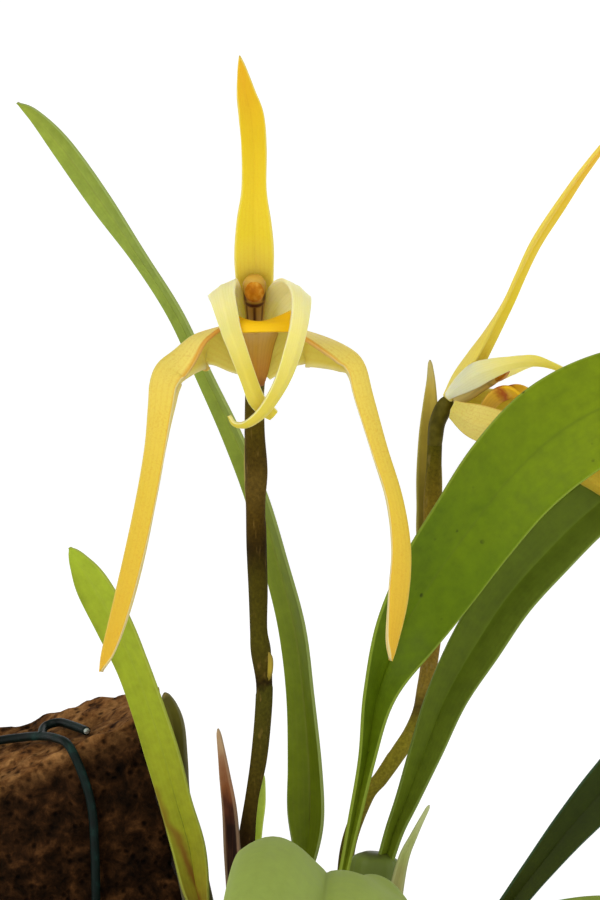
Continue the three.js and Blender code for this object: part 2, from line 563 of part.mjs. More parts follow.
// Blooms. Each is made at its own origin, where the pedicel meets the sepals, facing the front, and is
// then turned by `facing` degrees to the right. The second one's side sepals sweep forward, edge up.
const BLOOMS = {
  1: {
    place: [-3.6, 0, 217],
    facing: 0,
    dorsal: [
      [0, 1.3, 3, 2, 12, 0],
      [0, -1.2, 9, 3.1, 14, 0],
      [0, -5.8, 14, 3.5, 18, 0],
      [0, -10.9, 18.6, 3.6, 18, 0],
      [0, -15, 23.6, 3.1, 15, 0],
      [0.1, -18, 29, 2.2, 10, 0],
      [0.1, -21.2, 36, 2.2, 8, 0],
      [-0.3, -24, 41.6, 2.2, 8, 0],
      [-1.2, -26.4, 45.6, 1.6, 8, 0],
      [-2.2, -30, 51.5, 0.3, 0, 0],
    ],
    ovaryRows: [
      [-0.1, 0.5, -7.6, 1.5],
      [0, 1.6, -4, 1.6],
      [0, 1.3, -0.8, 1.9],
    ],
    sepals: {
      left: [
        [-2.1, -4.4, -5.2, 0.9, 6, 0],
        [-3.2, -4.4, -2.2, 2.3, 8, 4],
        [-5, -4.7, 1.3, 3.7, 16, 20],
        [-7.8, -5.4, 3.4, 4.7, 30, 44],
        [-10.8, -7, 2.6, 5, 48, 60],
        [-14.2, -8, -0.1, 5.2, 57, 78],
        [-17, -9, -2.4, 5.8, 60, 84],
        [-18.2, -10, -5.4, 5.4, 60, 88],
        [-18.5, -11, -9.6, 4.8, 60, 90],
        [-19.1, -12.2, -17, 3.8, 60, 90],
        [-20.6, -13.6, -26, 3.5, 60, 90],
        [-22.8, -15, -36.4, 3.5, 60, 90],
        [-25, -16.4, -46, 3.2, 58, 90],
        [-26.6, -17.6, -53, 2.2, 50, 90],
        [-27, -18, -56.4, 0.4, 20, 90],
      ],
      right: [
        [2.1, -4.4, -5.2, 0.9, 6, 0],
        [3.2, -4.4, -2.2, 2.3, 8, -4],
        [5, -4.7, 1.4, 3.7, 16, -22],
        [7.8, -5.4, 3.3, 4.5, 30, -46],
        [11, -7, 2.8, 4.6, 46, -58],
        [16.4, -8, 0.5, 3.8, 50, -78],
        [19.2, -9.2, -2.2, 3.5, 58, -86],
        [20.8, -10.4, -8, 3.2, 60, -90],
        [23.2, -12, -16.8, 2.9, 60, -90],
        [26, -13.4, -26, 2.8, 60, -90],
        [27.4, -14.6, -35, 3.3, 60, -90],
        [26.9, -15.6, -43.6, 3.6, 58, -90],
        [25.2, -16.4, -51, 2.2, 50, -90],
        [24.1, -17, -54.5, 0.4, 20, -90],
      ],
    },
    acrossPetals: { left: [0.87, 0, 0.5], right: [0.95, 0, -0.32] },
    petals: {
      left: [
        [-1.9, -1, 3.4, 1.7, 8, -40],
        [-3.6, -4.2, 7.2, 3, 10, -28],
        [-5.2, -8.2, 10.2, 3.1, 8, -14],
        [-5.7, -11.8, 11.6, 3, 4, -4],
        [-5.6, -14.6, 10.2, 2.4, 6, 0],
        [-4.9, -16.7, 7.2, 2.1, 12, 0],
        [-4.1, -17.6, 4.2, 1.85, 15, 0],
        [-3, -17.8, 1.2, 1.7, 15, 0],
        [-1.9, -17.5, -2, 1.55, 15, 0],
        [-0.7, -16.7, -5.3, 1.45, 15, 0],
        [0.5, -15.8, -8.3, 1.35, 10, 0],
        [2.2, -15.1, -10.1, 1, 8, 0],
        [3.4, -14.7, -11, 0.4, 5, 0],
      ],
      right: [
        [1.9, -1, 3.4, 1.7, 8, 40],
        [3.7, -4.2, 7.4, 3, 10, 28],
        [5.9, -8.4, 10.4, 3.3, 8, 14],
        [7.6, -12.4, 11.5, 2.9, 4, 4],
        [8.4, -15.6, 10.1, 2.2, 6, 0],
        [8.4, -17.7, 7, 1.95, 12, 0],
        [7.9, -18.6, 3.6, 1.85, 15, 0],
        [6.9, -18.8, 0, 1.8, 15, 0],
        [5.5, -18.6, -3.9, 1.6, 15, 0],
        [3.7, -18, -7.4, 1.35, 12, 0],
        [1.4, -17.2, -10.6, 1.1, 10, 0],
        [-1.4, -16.2, -12.6, 0.8, 10, 0],
        [-3.4, -15.3, -12.5, 0.6, 8, 0],
        [-4.3, -14.8, -11, 0.35, 5, 0],
      ],
    },
    lip: [
      [0, -4.9, -6.4, 0.9, -20],
      [0, -7.2, -3, 2.2, -40],
      [0, -9.2, 0.4, 3.2, -46],
      [0, -10.9, 3, 4.6, -44],
      [0, -12.6, 4.8, 6.6, -30],
      [0, -14.6, 5.3, 5.8, -8],
      [0, -15.9, 4.7, 5, 0],
      [0, -16.5, 3.2, 3.6, 4],
    ],
    columnRows: [
      [0, -0.9, 1.5, 1.6],
      [0, -2.6, 4.4, 1.6],
      [0, -4.6, 7.2, 1.75],
      [0, -6.6, 9.8, 2],
      [0, -8.4, 12.1, 2],
    ],
    capPlace: [0, -9.3, 10.7],
    capLean: 0.5,
  },
  2: {
    place: [33.5, 38, 205],
    facing: 62,
    dorsal: [
      [0, 0.8, 1.8, 1.7, 15, 0],
      [0, -2, 5.8, 2.4, 14, 0],
      [0, -4.9, 9.8, 3.1, 18, 0],
      [0, -8, 14, 2.4, 16, 0],
      [0, -11.3, 19.3, 2.1, 12, 0],
      [0, -14.2, 24.8, 2.2, 10, 0],
      [0, -17.5, 30.8, 2.4, 8, 0],
      [0, -21.7, 37, 2.4, 8, 0],
      [0, -25.8, 42.6, 2.1, 8, 0],
      [0, -29.8, 47.4, 1.5, 8, 0],
      [0, -34.6, 52.8, 0.3, 0, 0],
    ],
    ovaryRows: [
      [-1.4, 2.5, -6.6, 1.4],
      [-0.9, 2.3, -3.6, 1.5],
      [-0.2, 1.2, -0.8, 1.8],
    ],
    acrossSepals: { left: [0, 0, 1], right: [0, 0, -1] },
    sepals: {
      left: [
        [-2.9, -1.6, 0.2, 2.9, 8, 0],
        [-4, -6.6, -1.6, 4.7, 8, 0],
        [-5.3, -13.1, -3.6, 4.6, 16, 0],
        [-5.9, -19.8, -6.4, 4, 28, 0],
        [-6.4, -26.5, -9.8, 3.4, 36, 0],
        [-6.6, -33, -13.2, 2.9, 38, 0],
        [-5.8, -39.3, -17.6, 2.2, 34, 0],
        [-3.4, -44.8, -23, 0.4, 15, 0],
      ],
      right: [
        [2.9, -1.6, 0.2, 2.9, 8, 0],
        [4.1, -6.6, -1.6, 4.7, 8, 0],
        [6, -13.1, -3.6, 4.6, 16, 0],
        [8, -19.8, -6.4, 4, 28, 0],
        [10, -26.5, -9.8, 3.4, 36, 0],
        [12, -33, -13.2, 2.9, 38, 0],
        [13.6, -39.3, -17.6, 2.2, 34, 0],
        [14.8, -44.8, -23, 0.4, 15, 0],
      ],
    },
    acrossPetals: { left: [0, 0, 1], right: [0, 0, -1] },
    petals: {
      left: [
        [-2, -2.6, 3.2, 1, 6, 0],
        [-2.9, -6.3, 5.2, 1.9, 8, 0],
        [-4.3, -10.9, 7, 1.8, 10, 0],
        [-4.6, -15.5, 8.4, 1.25, 8, 0],
        [-4.6, -19.9, 8.9, 1.05, 8, 0],
        [-4.2, -24.5, 7.6, 0.5, 6, 0],
        [-3.4, -29, 5.2, 0.4, 5, 0],
        [-2.6, -32, 2.6, 0.3, 5, 0],
      ],
      right: [
        [2, -2.6, 3.2, 1, 6, 0],
        [2.9, -6.2, 5.3, 1.9, 8, 0],
        [4.5, -10.8, 7.4, 1.8, 10, 0],
        [5, -15.3, 8.4, 1, 8, 0],
        [5.1, -19.6, 7.5, 0.55, 8, 0],
        [4.9, -24, 5.6, 0.45, 6, 0],
        [4.4, -28.2, 3.2, 0.4, 5, 0],
        [3.8, -30.8, 1.2, 0.3, 5, 0],
      ],
    },
    lip: [
      [0, -4.9, -6.4, 0.9, -20],
      [0, -7, -3.4, 1.9, -40],
      [0, -9, -0.6, 2.6, -44],
      [0, -11, 1, 3.2, -44],
      [0, -13.4, 1.8, 3.5, -36],
      [0, -15.8, 1.6, 3.2, -16],
      [0, -17.4, 0.8, 2.6, 0],
      [0, -18.4, -0.4, 1.6, 4],
    ],
    columnRows: [
      [0, -1.3, 1.1, 1.4],
      [0, -3.6, 2.3, 1.6],
      [0, -6, 4, 1.75],
      [0, -8.2, 5.6, 2],
      [0, -9.6, 6.9, 1.9],
    ],
    capPlace: [0, -10.8, 6.2],
    capLean: 0.8,
  },
};

// The column's foot, which the lip is hinged to, and the anther cap that closes the column
const COLUMN_FOOT = [
  [0, -1.4, 2, 1.3],
  [0, -2.6, -1.8, 1.3],
  [0, -4.2, -5.6, 0.8],
];
const FOOT_FLAT = 0.7;
const ANTHER_RADII = [1.7, 1.15, 1.9];

function antherCap({ capPlace, capLean }, extra = 0) {
  return new THREE.SphereGeometry(1, 12, 7)
    .scale(...ANTHER_RADII.map((radius) => radius + extra))
    .rotateX(capLean)
    .translate(...capPlace);
}

function column(shape) {
  const body = solid(stalk(shape.columnRows, 6, 12));
  const foot = solid(stalk(COLUMN_FOOT, 4, 10, FOOT_FLAT));
  return body.add(foot).subtract(solid(antherCap(shape, GAP)));
}

function bloom(number, shape) {
  const { dorsal, ovaryRows, acrossSepals = {}, sepals, acrossPetals, petals } = shape;
  const group = new THREE.Group();
  group.position.set(...shape.place);
  group.rotation.z = THREE.MathUtils.degToRad(shape.facing);
  const add = (name, geometry, look) => piece(`bloom_${number}_${name}`, geometry, look, group);
  add("ovary", stalk(ovaryRows, 5, 10), "ovary");
  add("column", geometryOf(column(shape)), "column");
  add("anther_cap", antherCap(shape), "anther");
  add("dorsal_sepal", blade(dorsal, 14, PETAL_THICK), "sepal");
  add("lip", blade(shape.lip, 10, PETAL_THICK, [1, 0, 0]), "lip");
  for (const [side, rows] of Object.entries(sepals)) {
    add(`${side}_sepal`, blade(rows, 15, PETAL_THICK, acrossSepals[side]), "sepal");
  }
  for (const [side, rows] of Object.entries(petals)) {
    add(`${side}_petal`, blade(rows, 15, PETAL_THICK, acrossPetals[side]), "petal");
  }
  potted.add(group);
}

// Rhizome with a few roots that loop over the bark
const RHIZOME = [
  [
    [-21, 2],
    [-12, 4],
    [-3, 6],
    [6, 9],
    [14, 8],
    [24, 6],
    [34, 6],
  ],
  [
    [9, -26],
    [10, -14],
    [10.5, -3],
    [13, 8],
  ],
  [
    [27, -15],
    [26, -6],
    [25, 6],
  ],
];
const ROOTS = [
  [
    [-18, 2, 94.6],
    [-24, -3, 99.5],
    [-32, -10, 100.6],
    [-40, -16, 97],
    [-44, -19, 91],
  ],
  [
    [9.5, -25, 94.6],
    [3, -33, 99.8],
    [-6, -38, 99.8],
    [-13, -43, 93],
  ],
  [
    [27, -12, 94.6],
    [34, -20, 99],
    [38, -30, 99],
    [40, -38, 91.5],
  ],
  [
    [32, 6, 94.6],
    [40, 14, 99.2],
    [44, 24, 97.6],
    [43, 33, 90.5],
  ],
  [
    [2, 8, 94.6],
    [1, 22, 99.6],
    [-2, 34, 99.6],
    [-4, 44, 92],
  ],
];

function rhizome(extra = 0) {
  const runs = RHIZOME.map((run) =>
    solid(
      tube(
        run.map(([x, y]) => [x, y, RHIZOME_HEIGHT]),
        RHIZOME_RADIUS + extra,
        8,
        8,
      ),
    ),
  );
  const roots = ROOTS.map((root) => solid(tube(root, ROOT_RADIUS + extra, 10, 6)));
  return [...runs, ...roots].reduce((whole, next) => whole.add(next));
}

// Tree fern block: eight corners, front to back by left to right, leaning out over the pot's left edge
const BLOCK_FOOT = [
  [-50, 14, 84],
  [-11, 14, 84],
  [-13, 34, 84],
  [-38, 33, 84],
];
const BLOCK_HEAD = [
  [-62, 14, 131.4],
  [-25.5, 14, 148.2],
  [-22.5, 31, 151.5],
  [-58, 42, 141.4],
];
const BLOCK_CELLS = [10, 6, 12];
const BLOCK_ROUGH = 1.1; // depth of the pits and bumps
const BLOCK_SLACK = 1.2; // clearance of its hole in the bark
const BLOCK_BURIED = 103; // plain below this height, where it stands in the bark

function cornerPoint(u, v, w) {
  const level = [BLOCK_FOOT, BLOCK_HEAD].map((corners) => {
    const [a, b, c, d] = corners.map((p) => new THREE.Vector3(...p));
    return a.lerp(b, u).lerp(d.lerp(c, u), v);
  });
  return level[0].lerp(level[1], w);
}

function pitted({ x, y, z }) {
  const wave = Math.sin(0.61 * x + 1.3) * Math.sin(0.83 * y + 0.47 * z) + Math.sin(0.9 * z - 0.53 * x);
  return wave * BLOCK_ROUGH * 0.5 - BLOCK_ROUGH * 0.6;
}

// The block, with `move` giving each of its surface points a push along its outward direction.
function blockBody(cells, move) {
  const box = new THREE.BoxGeometry(1, 1, 1, ...cells).translate(0.5, 0.5, 0.5);
  const spots = box.attributes.position;
  const middle = cornerPoint(0.5, 0.5, 0.5);
  for (let i = 0; i < spots.count; i++) {
    const point = cornerPoint(spots.getX(i), spots.getY(i), spots.getZ(i));
    const out = point.clone().sub(middle).setZ(0).normalize();
    move(point, out, spots.getZ(i));
    spots.setXYZ(i, point.x, point.y, point.z);
  }
  return solid(box);
}

function fernBlock() {
  return blockBody(BLOCK_CELLS, (point, out, level) => {
    if (point.z <= BLOCK_BURIED) return;
    const outward = level === 1 ? new THREE.Vector3(0, 0, 1) : out;
    point.addScaledVector(outward, pitted(point));
  });
}

function blockHole() {
  return blockBody([1, 1, 1], (point, out, level) => {
    point.addScaledVector(out, BLOCK_SLACK);
    if (level === 0) point.z -= GAP;
  });
}

// Coated wire tied over the block: up its front, over its top to the left and down, with one loose end
const WIRE = [
  [-33.4, 12.6, 94],
  [-33.6, 12.6, 108],
  [-33.8, 12.6, 122],
  [-34.4, 12.6, 131],
  [-36.2, 12.7, 137.4],
  [-38.6, 13.6, 142.3],
  [-41, 16.8, 143.2],
  [-44.4, 21.6, 143],
  [-49, 26, 142],
  [-55.2, 29.4, 140.5],
  [-60, 30.6, 138.6],
  [-62, 30.4, 134.4],
  [-57.8, 29.3, 122],
  [-53, 28.2, 108],
  [-48.6, 26.9, 94],
];
const WIRE_END = [
  [-44.4, 21.4, 143],
  [-44, 25.4, 144.2],
  [-41.4, 25.6, 145],
  [-38.4, 21.8, 144.9],
  [-35.6, 17.4, 144.6],
];

function wire(extra = 0) {
  const loop = solid(tube(WIRE, WIRE_RADIUS + extra, 34, 6));
  return loop.add(solid(tube(WIRE_END, WIRE_RADIUS + extra, 8, 6)));
}

// Potting bark: a mound with chips bedded in it, and a plain hole for each thing that stands in it
function barkChips() {
  const random = randoms(11);
  const chips = [];
  for (let i = 0; i < CHIP_COUNT; i++) {
    const reach = CHIP_REACH * Math.sqrt((i + 0.5) / CHIP_COUNT);
    const angle = i * GOLDEN_ANGLE;
    const size = CHIP_LEAST.map((least, axis) => least + CHIP_MORE[axis] * random());
    const surface = THREE.MathUtils.lerp(BARK_CROWN, BARK_EDGE, (reach / CHIP_REACH) ** 2);
    const chip = new THREE.BoxGeometry(...size)
      .rotateX(CHIP_TILT * (2 * random() - 1))
      .rotateY(CHIP_TILT * (2 * random() - 1))
      .rotateZ(Math.PI * random())
      .translate(reach * Math.cos(angle), reach * Math.sin(angle), surface + CHIP_PROUD * random());
    chips.push(solid(chip));
  }
  return chips;
}

function bark(sockets) {
  const profile = [
    [0, POT_FLOOR + GAP],
    [innerRadius(POT_FLOOR) - 5, POT_FLOOR + GAP],
    [innerRadius(POT_FLOOR + 5) - BARK_SIDE_GAP, POT_FLOOR + 5],
    [innerRadius(BARK_EDGE) - BARK_SIDE_GAP, BARK_EDGE],
    BARK_SHOULDER,
    [20, BARK_CROWN - 1],
    [0, BARK_CROWN],
  ];
  const mound = solid(turned(profile, POT_SIDES));
  const heap = barkChips().reduce((whole, chip) => whole.add(chip), mound);
  return mainBody(sockets.reduce((left, socket) => left.subtract(socket), heap));
}

// Everything that stands in the bark, a little enlarged
function sockets() {
  const bulbHoles = Object.values(BULBS).map((row) => solid(bulb(row, GAP)));
  const stalkHoles = Object.values(STALKS).map(({ rows }) => {
    const [foot, next] = rows.map(([x, y, z, r]) => [x, y, z - GAP, r + 2 * GAP]);
    return solid(stalk([foot, next], 1, STALK_SIDES));
  });
  const bractHoles = Object.values(BRACTS)
    .filter(({ rows }) => rows[0][2] < BARK_CROWN)
    .map(({ rows }) => {
      const [foot, next] = rows.map(([x, y, z, half, ...bend]) => [x, y, z - GAP, half + GAP, ...bend]);
      return solid(blade([foot, next], 1, LEAF_THICK + 4 * GAP));
    });
  return [...bulbHoles, ...stalkHoles, ...bractHoles, rhizome(GAP), blockHole(), wire(GAP)];
}

piece("pot", geometryOf(pot()), "terracotta");
piece("potting_bark", geometryOf(bark(sockets())), "bark");
piece("fern_block", geometryOf(mainBody(fernBlock().subtract(wire(GAP)))), "fern");
piece("tie_wire", geometryOf(wire()), "wire");
piece("rhizome_and_roots", geometryOf(rhizome()), "root");
for (const [name, row] of Object.entries(BULBS)) {
  piece(`pseudobulb_${name}`, bulb(row), "bulb");
}
for (const [name, { rows, cuts, look, across }] of Object.entries(LEAVES)) {
  piece(`leaf_${name}`, blade(rows, cuts, LEAF_THICK, across), look);
}
for (const [number, { rows, cuts }] of Object.entries(STALKS)) {
  piece(`flower_stalk_${number}`, stalk(rows, cuts, STALK_SIDES), "stalk");
}
for (const [name, { rows, look }] of Object.entries(BRACTS)) {
  piece(name, blade(rows, 6, PETAL_THICK), look);
}
for (const [number, shape] of Object.entries(BLOOMS)) {
  bloom(number, shape);
}

export default potted;
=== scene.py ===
import functools
import math
import random

import bmesh
import bpy
from mathutils import Matrix, Vector, noise


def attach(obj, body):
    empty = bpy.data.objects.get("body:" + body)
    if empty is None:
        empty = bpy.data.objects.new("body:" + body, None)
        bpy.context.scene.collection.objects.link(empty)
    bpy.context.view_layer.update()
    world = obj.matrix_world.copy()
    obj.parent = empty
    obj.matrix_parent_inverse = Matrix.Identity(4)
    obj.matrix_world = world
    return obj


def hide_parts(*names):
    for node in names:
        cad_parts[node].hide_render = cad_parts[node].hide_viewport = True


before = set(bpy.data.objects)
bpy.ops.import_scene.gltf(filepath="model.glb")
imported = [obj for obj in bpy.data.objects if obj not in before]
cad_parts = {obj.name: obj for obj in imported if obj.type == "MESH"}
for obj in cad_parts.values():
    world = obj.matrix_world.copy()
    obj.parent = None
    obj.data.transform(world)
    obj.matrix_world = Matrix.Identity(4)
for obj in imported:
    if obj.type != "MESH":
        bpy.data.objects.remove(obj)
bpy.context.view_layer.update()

# Potted Maxillaria bradei. Rows and sizes are in millimetres in the part's own frame: +Z up, -Y to the front.
MM = 0.001
LEAF_THICK = 1.2
PETAL_THICK = 0.8
PETAL_VEINS = 9
EDGE_THICK = 0.6
GROOVE = 1.3  # how a blade's halves rise from its midrib: 1 is a sharp V, 2 a round channel
NARROWEST = 0.12  # half width at a blade's very end
POINTED = 0.6  # a blade whose last half width is less than this ends in a point
TIP_SHARE = 0.04  # the share of a pointed blade that its rounded end takes

# Meshes ---------------------------------------------------------------------


def smooth_row(rows, place):
    """The row at a place from 0 to 1, on a smooth curve through all the rows."""
    last = len(rows) - 1
    span = min(int(place * last), last - 1)
    t = place * last - span

    def at(index):
        if index < 0:
            return [2 * a - b for a, b in zip(rows[0], rows[1])]
        if index > last:
            return [2 * a - b for a, b in zip(rows[last], rows[last - 1])]
        return rows[index]

    before, here, after, beyond = (at(span + step) for step in (-1, 0, 1, 2))
    return [
        b + 0.5 * t * (c - a + t * (2 * a - 5 * b + 4 * c - d + t * (3 * (b - c) + d - a)))
        for a, b, c, d in zip(before, here, after, beyond)
    ]


def heading(rows, place, reach=0.012):
    """The direction in which rows run at a place from 0 to 1."""
    ahead = Vector(smooth_row(rows, min(place + reach, 1))[:3])
    behind = Vector(smooth_row(rows, max(place - reach, 0))[:3])
    return (ahead - behind).normalized()


def grid(across, along, place):
    """A bmesh of a grid whose points are moved to place(u, v), with u and v from 0 to 1 kept as its UV map."""
    bm = bmesh.new()
    uv = bm.loops.layers.uv.new("blade")
    bmesh.ops.create_grid(bm, x_segments=across, y_segments=along, size=0.5)
    for face in bm.faces:
        for loop in face.loops:
            loop[uv].uv = (loop.vert.co.x + 0.5, loop.vert.co.y + 0.5)
    for vert in bm.verts:
        vert.co = place(vert.co.x + 0.5, vert.co.y + 0.5) * MM
    return bm


def closed(bm):
    """Joins a rolled grid along its seam and caps its ends."""
    bmesh.ops.remove_doubles(bm, verts=bm.verts, dist=1e-7)
    rim = [edge for edge in bm.edges if edge.is_boundary]
    if rim:
        bmesh.ops.holes_fill(bm, edges=rim, sides=0)
    bmesh.ops.recalc_face_normals(bm, faces=bm.faces)
    return bm


def shown(name, bm):
    """An object of a bmesh, with smooth faces."""
    mesh = bpy.data.meshes.new(name)
    bm.to_mesh(mesh)
    bm.free()
    mesh.polygons.foreach_set("use_smooth", [True] * len(mesh.polygons))
    made = bpy.data.objects.new(name, mesh)
    bpy.context.collection.objects.link(made)
    return made


def piece(name, bm, skins, cad_node):
    """Makes a bmesh a piece of the part, with its materials, in place of a CAD node."""
    made = shown(name, bm)
    for skin in skins:
        made.data.materials.append(skin)
    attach(made, "root")
    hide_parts(cad_node)
    return made


def midrib(rows, cuts, across):
    """Spine, sideways and upward direction, half width, fold, billow and skew at each station of a blade."""
    full = [list(row) + [0] * (8 - len(row)) for row in rows]
    carried = Vector(across) if across else None
    stations = []
    for index in range(cuts + 1):
        x, y, z, half, fold, turn, billow, skew = smooth_row(full, index / cuts)
        tangent = heading(full, index / cuts)
        if across:
            carried = (carried - tangent * carried.dot(tangent)).normalized()
            side = carried
        else:
            side = Vector((0, 1, 0)).cross(tangent).normalized()
        side = Matrix.Rotation(math.radians(-turn), 3, tangent) @ side
        spine = Vector((x, y, z))
        stations.append((spine, side, side.cross(tangent), max(half, NARROWEST), math.radians(fold), billow, skew))
    return stations


def blade(name, rows, thick, skins, node, across=None, relief=None, cuts=96, halves=10, turn_by=None):
    """A leaf, sepal, petal or bract along rows of [x, y, z, half width, fold, turn, billow, skew], as in the solids.
    The last three may be left out. Fold and turn are in degrees, billow and skew are shares of the half width."""
    stations = midrib(rows, cuts, across)
    tip = TIP_SHARE if rows[-1][3] < POINTED else 0.0

    def place(u, v):
        spine, side, up, half, fold, billow, skew = stations[round(v * cuts)]
        if v > 1 - tip:
            half *= math.sqrt(max(0.02, 1 - ((v - 1 + tip) / tip) ** 2))
        way = 2 * u - 1
        share = abs(way)
        height = half * (math.sin(fold) * share**GROOVE + (billow + skew * way) * math.sin(math.pi * share))
        if relief:
            height += relief(way, v, half)
        return spine + side * way * half * math.cos(fold) + up * height

    made = piece(name, moved(grid(2 * halves, cuts, place), turn_by), skins, node)
    body = made.vertex_groups.new(name="body")
    edge_share = EDGE_THICK / thick
    for loop in made.data.loops:
        u = made.data.uv_layers["blade"].data[loop.index].uv[0]
        body.add([loop.vertex_index], 1 - (1 - edge_share) * abs(2 * u - 1) ** 2, "REPLACE")
    wall = made.modifiers.new("wall", "SOLIDIFY")
    wall.thickness = thick * MM
    wall.offset = 0
    wall.vertex_group = "body"
    if len(skins) > 1:
        wall.material_offset = 1
    return made


def stem(rows, sides, cuts, flat=1.0, swell=None):
    """A bmesh of a stalk along rows of [x, y, z, radius], squeezed front to back by flat."""

    def place(u, v):
        x, y, z, radius = smooth_row(rows, v)
        tangent = heading(rows, v)
        right = (Vector((1, 0, 0)) - tangent * tangent.x).normalized()
        back = tangent.cross(right)
        angle = 2 * math.pi * u
        if swell:
            radius *= swell(angle, v)
        return Vector((x, y, z)) + right * radius * math.cos(angle) + back * radius * flat * math.sin(angle)

    return closed(grid(sides, cuts, place))


def turned(profile, steps):
    """A bmesh of a profile of (radius, height) turned on the Z axis."""
    bm = bmesh.new()
    spots = [bm.verts.new((radius * MM, 0, height * MM)) for radius, height in profile]
    for start, end in zip(spots, spots[1:]):
        bm.edges.new((start, end))
    bmesh.ops.spin(
        bm, geom=bm.verts[:] + bm.edges[:], cent=(0, 0, 0), axis=(0, 0, 1),
        angle=2 * math.pi, steps=steps, use_merge=True,
    )
    bmesh.ops.remove_doubles(bm, verts=bm.verts, dist=1e-6)
    bmesh.ops.recalc_face_normals(bm, faces=bm.faces)
    return bm


def moved(bm, matrix):
    """A bmesh after a move, if there is one."""
    if matrix:
        bmesh.ops.transform(bm, matrix=matrix, verts=bm.verts)
    return bm


def added(bm, other):
    """Adds a second bmesh to the first."""
    mesh = bpy.data.meshes.new("added")
    other.to_mesh(mesh)
    other.free()
    bm.from_mesh(mesh)
    bpy.data.meshes.remove(mesh)


# Materials ------------------------------------------------------------------


def linear(code, alpha=1.0):
    """An sRGB hex colour as linear values."""
    parts = [int(code[i : i + 2], 16) / 255 for i in (1, 3, 5)]
    return (*[c / 12.92 if c <= 0.04045 else ((c + 0.055) / 1.055) ** 2.4 for c in parts], alpha)


def node(tree, kind, inputs):
    """Adds a shader node with its settings and links. An input that is another node takes its main output."""
    made = tree.nodes.new("ShaderNode" + kind)
    if kind == "Mix":
        made.data_type = "RGBA"
    for name, value in inputs.items():
        if isinstance(value, bpy.types.Node):
            value = value.outputs[2 if value.bl_idname == "ShaderNodeMix" else 0]
        if isinstance(value, bpy.types.NodeSocket):
            tree.links.new(value, made.inputs[name])
        elif name == "stops":
            stops = made.color_ramp.elements
            stops[0].position, stops[0].color = value[0]
            stops[1].position, stops[1].color = value[-1]
            for spot, colour in value[1:-1]:
                stops.new(spot).color = colour
        elif isinstance(name, str) and hasattr(made, name):
            setattr(made, name, value)
        else:
            made.inputs[name].default_value = value
    return made


def started(name):
    """A new material, what adds a node to it, and the place on the part in metres."""
    material = bpy.data.materials.new(name)
    material.use_nodes = True
    material.node_tree.nodes.clear()
    add = functools.partial(node, material.node_tree)
    return material, add, add("TexCoord", {}).outputs["Object"]


def shaded(material, inputs):
    """Ends a material with a shader that has these settings and links."""
    shader = node(material.node_tree, "BsdfPrincipled", inputs)
    node(material.node_tree, "OutputMaterial", {"Surface": shader})
    return material


def blade_place(add):
    """How far across and along a blade or a stem, from 0 to 1."""
    spot = add("SeparateXYZ", {0: add("UVMap", {"uv_map": "blade"})})
    return spot.outputs["X"], spot.outputs["Y"]


def gap_to(add, source, middle):
    """How far a value lies from a middle one."""
    return add("Math", {"operation": "ABSOLUTE", 0: add("Math", {"operation": "SUBTRACT", 0: source, 1: middle})})


def rippled(add, source, turns):
    """A wave from -1 to 1 that turns with a value."""
    return add("Math", {"operation": "COSINE", 0: add("Math", {"operation": "MULTIPLY", 0: source, 1: turns})})


def strayed(add, source, cloud, spread):
    """A value that a cloud moves to and fro, so that no colour ends in a straight line."""
    shift = add("Math", {"operation": "MULTIPLY_ADD", 0: cloud, 1: spread, 2: -spread / 2})
    return add("Math", {"operation": "ADD", 0: source, 1: shift})


def ramp_of(*stops):
    return [(place, linear(code)) for place, code in stops]


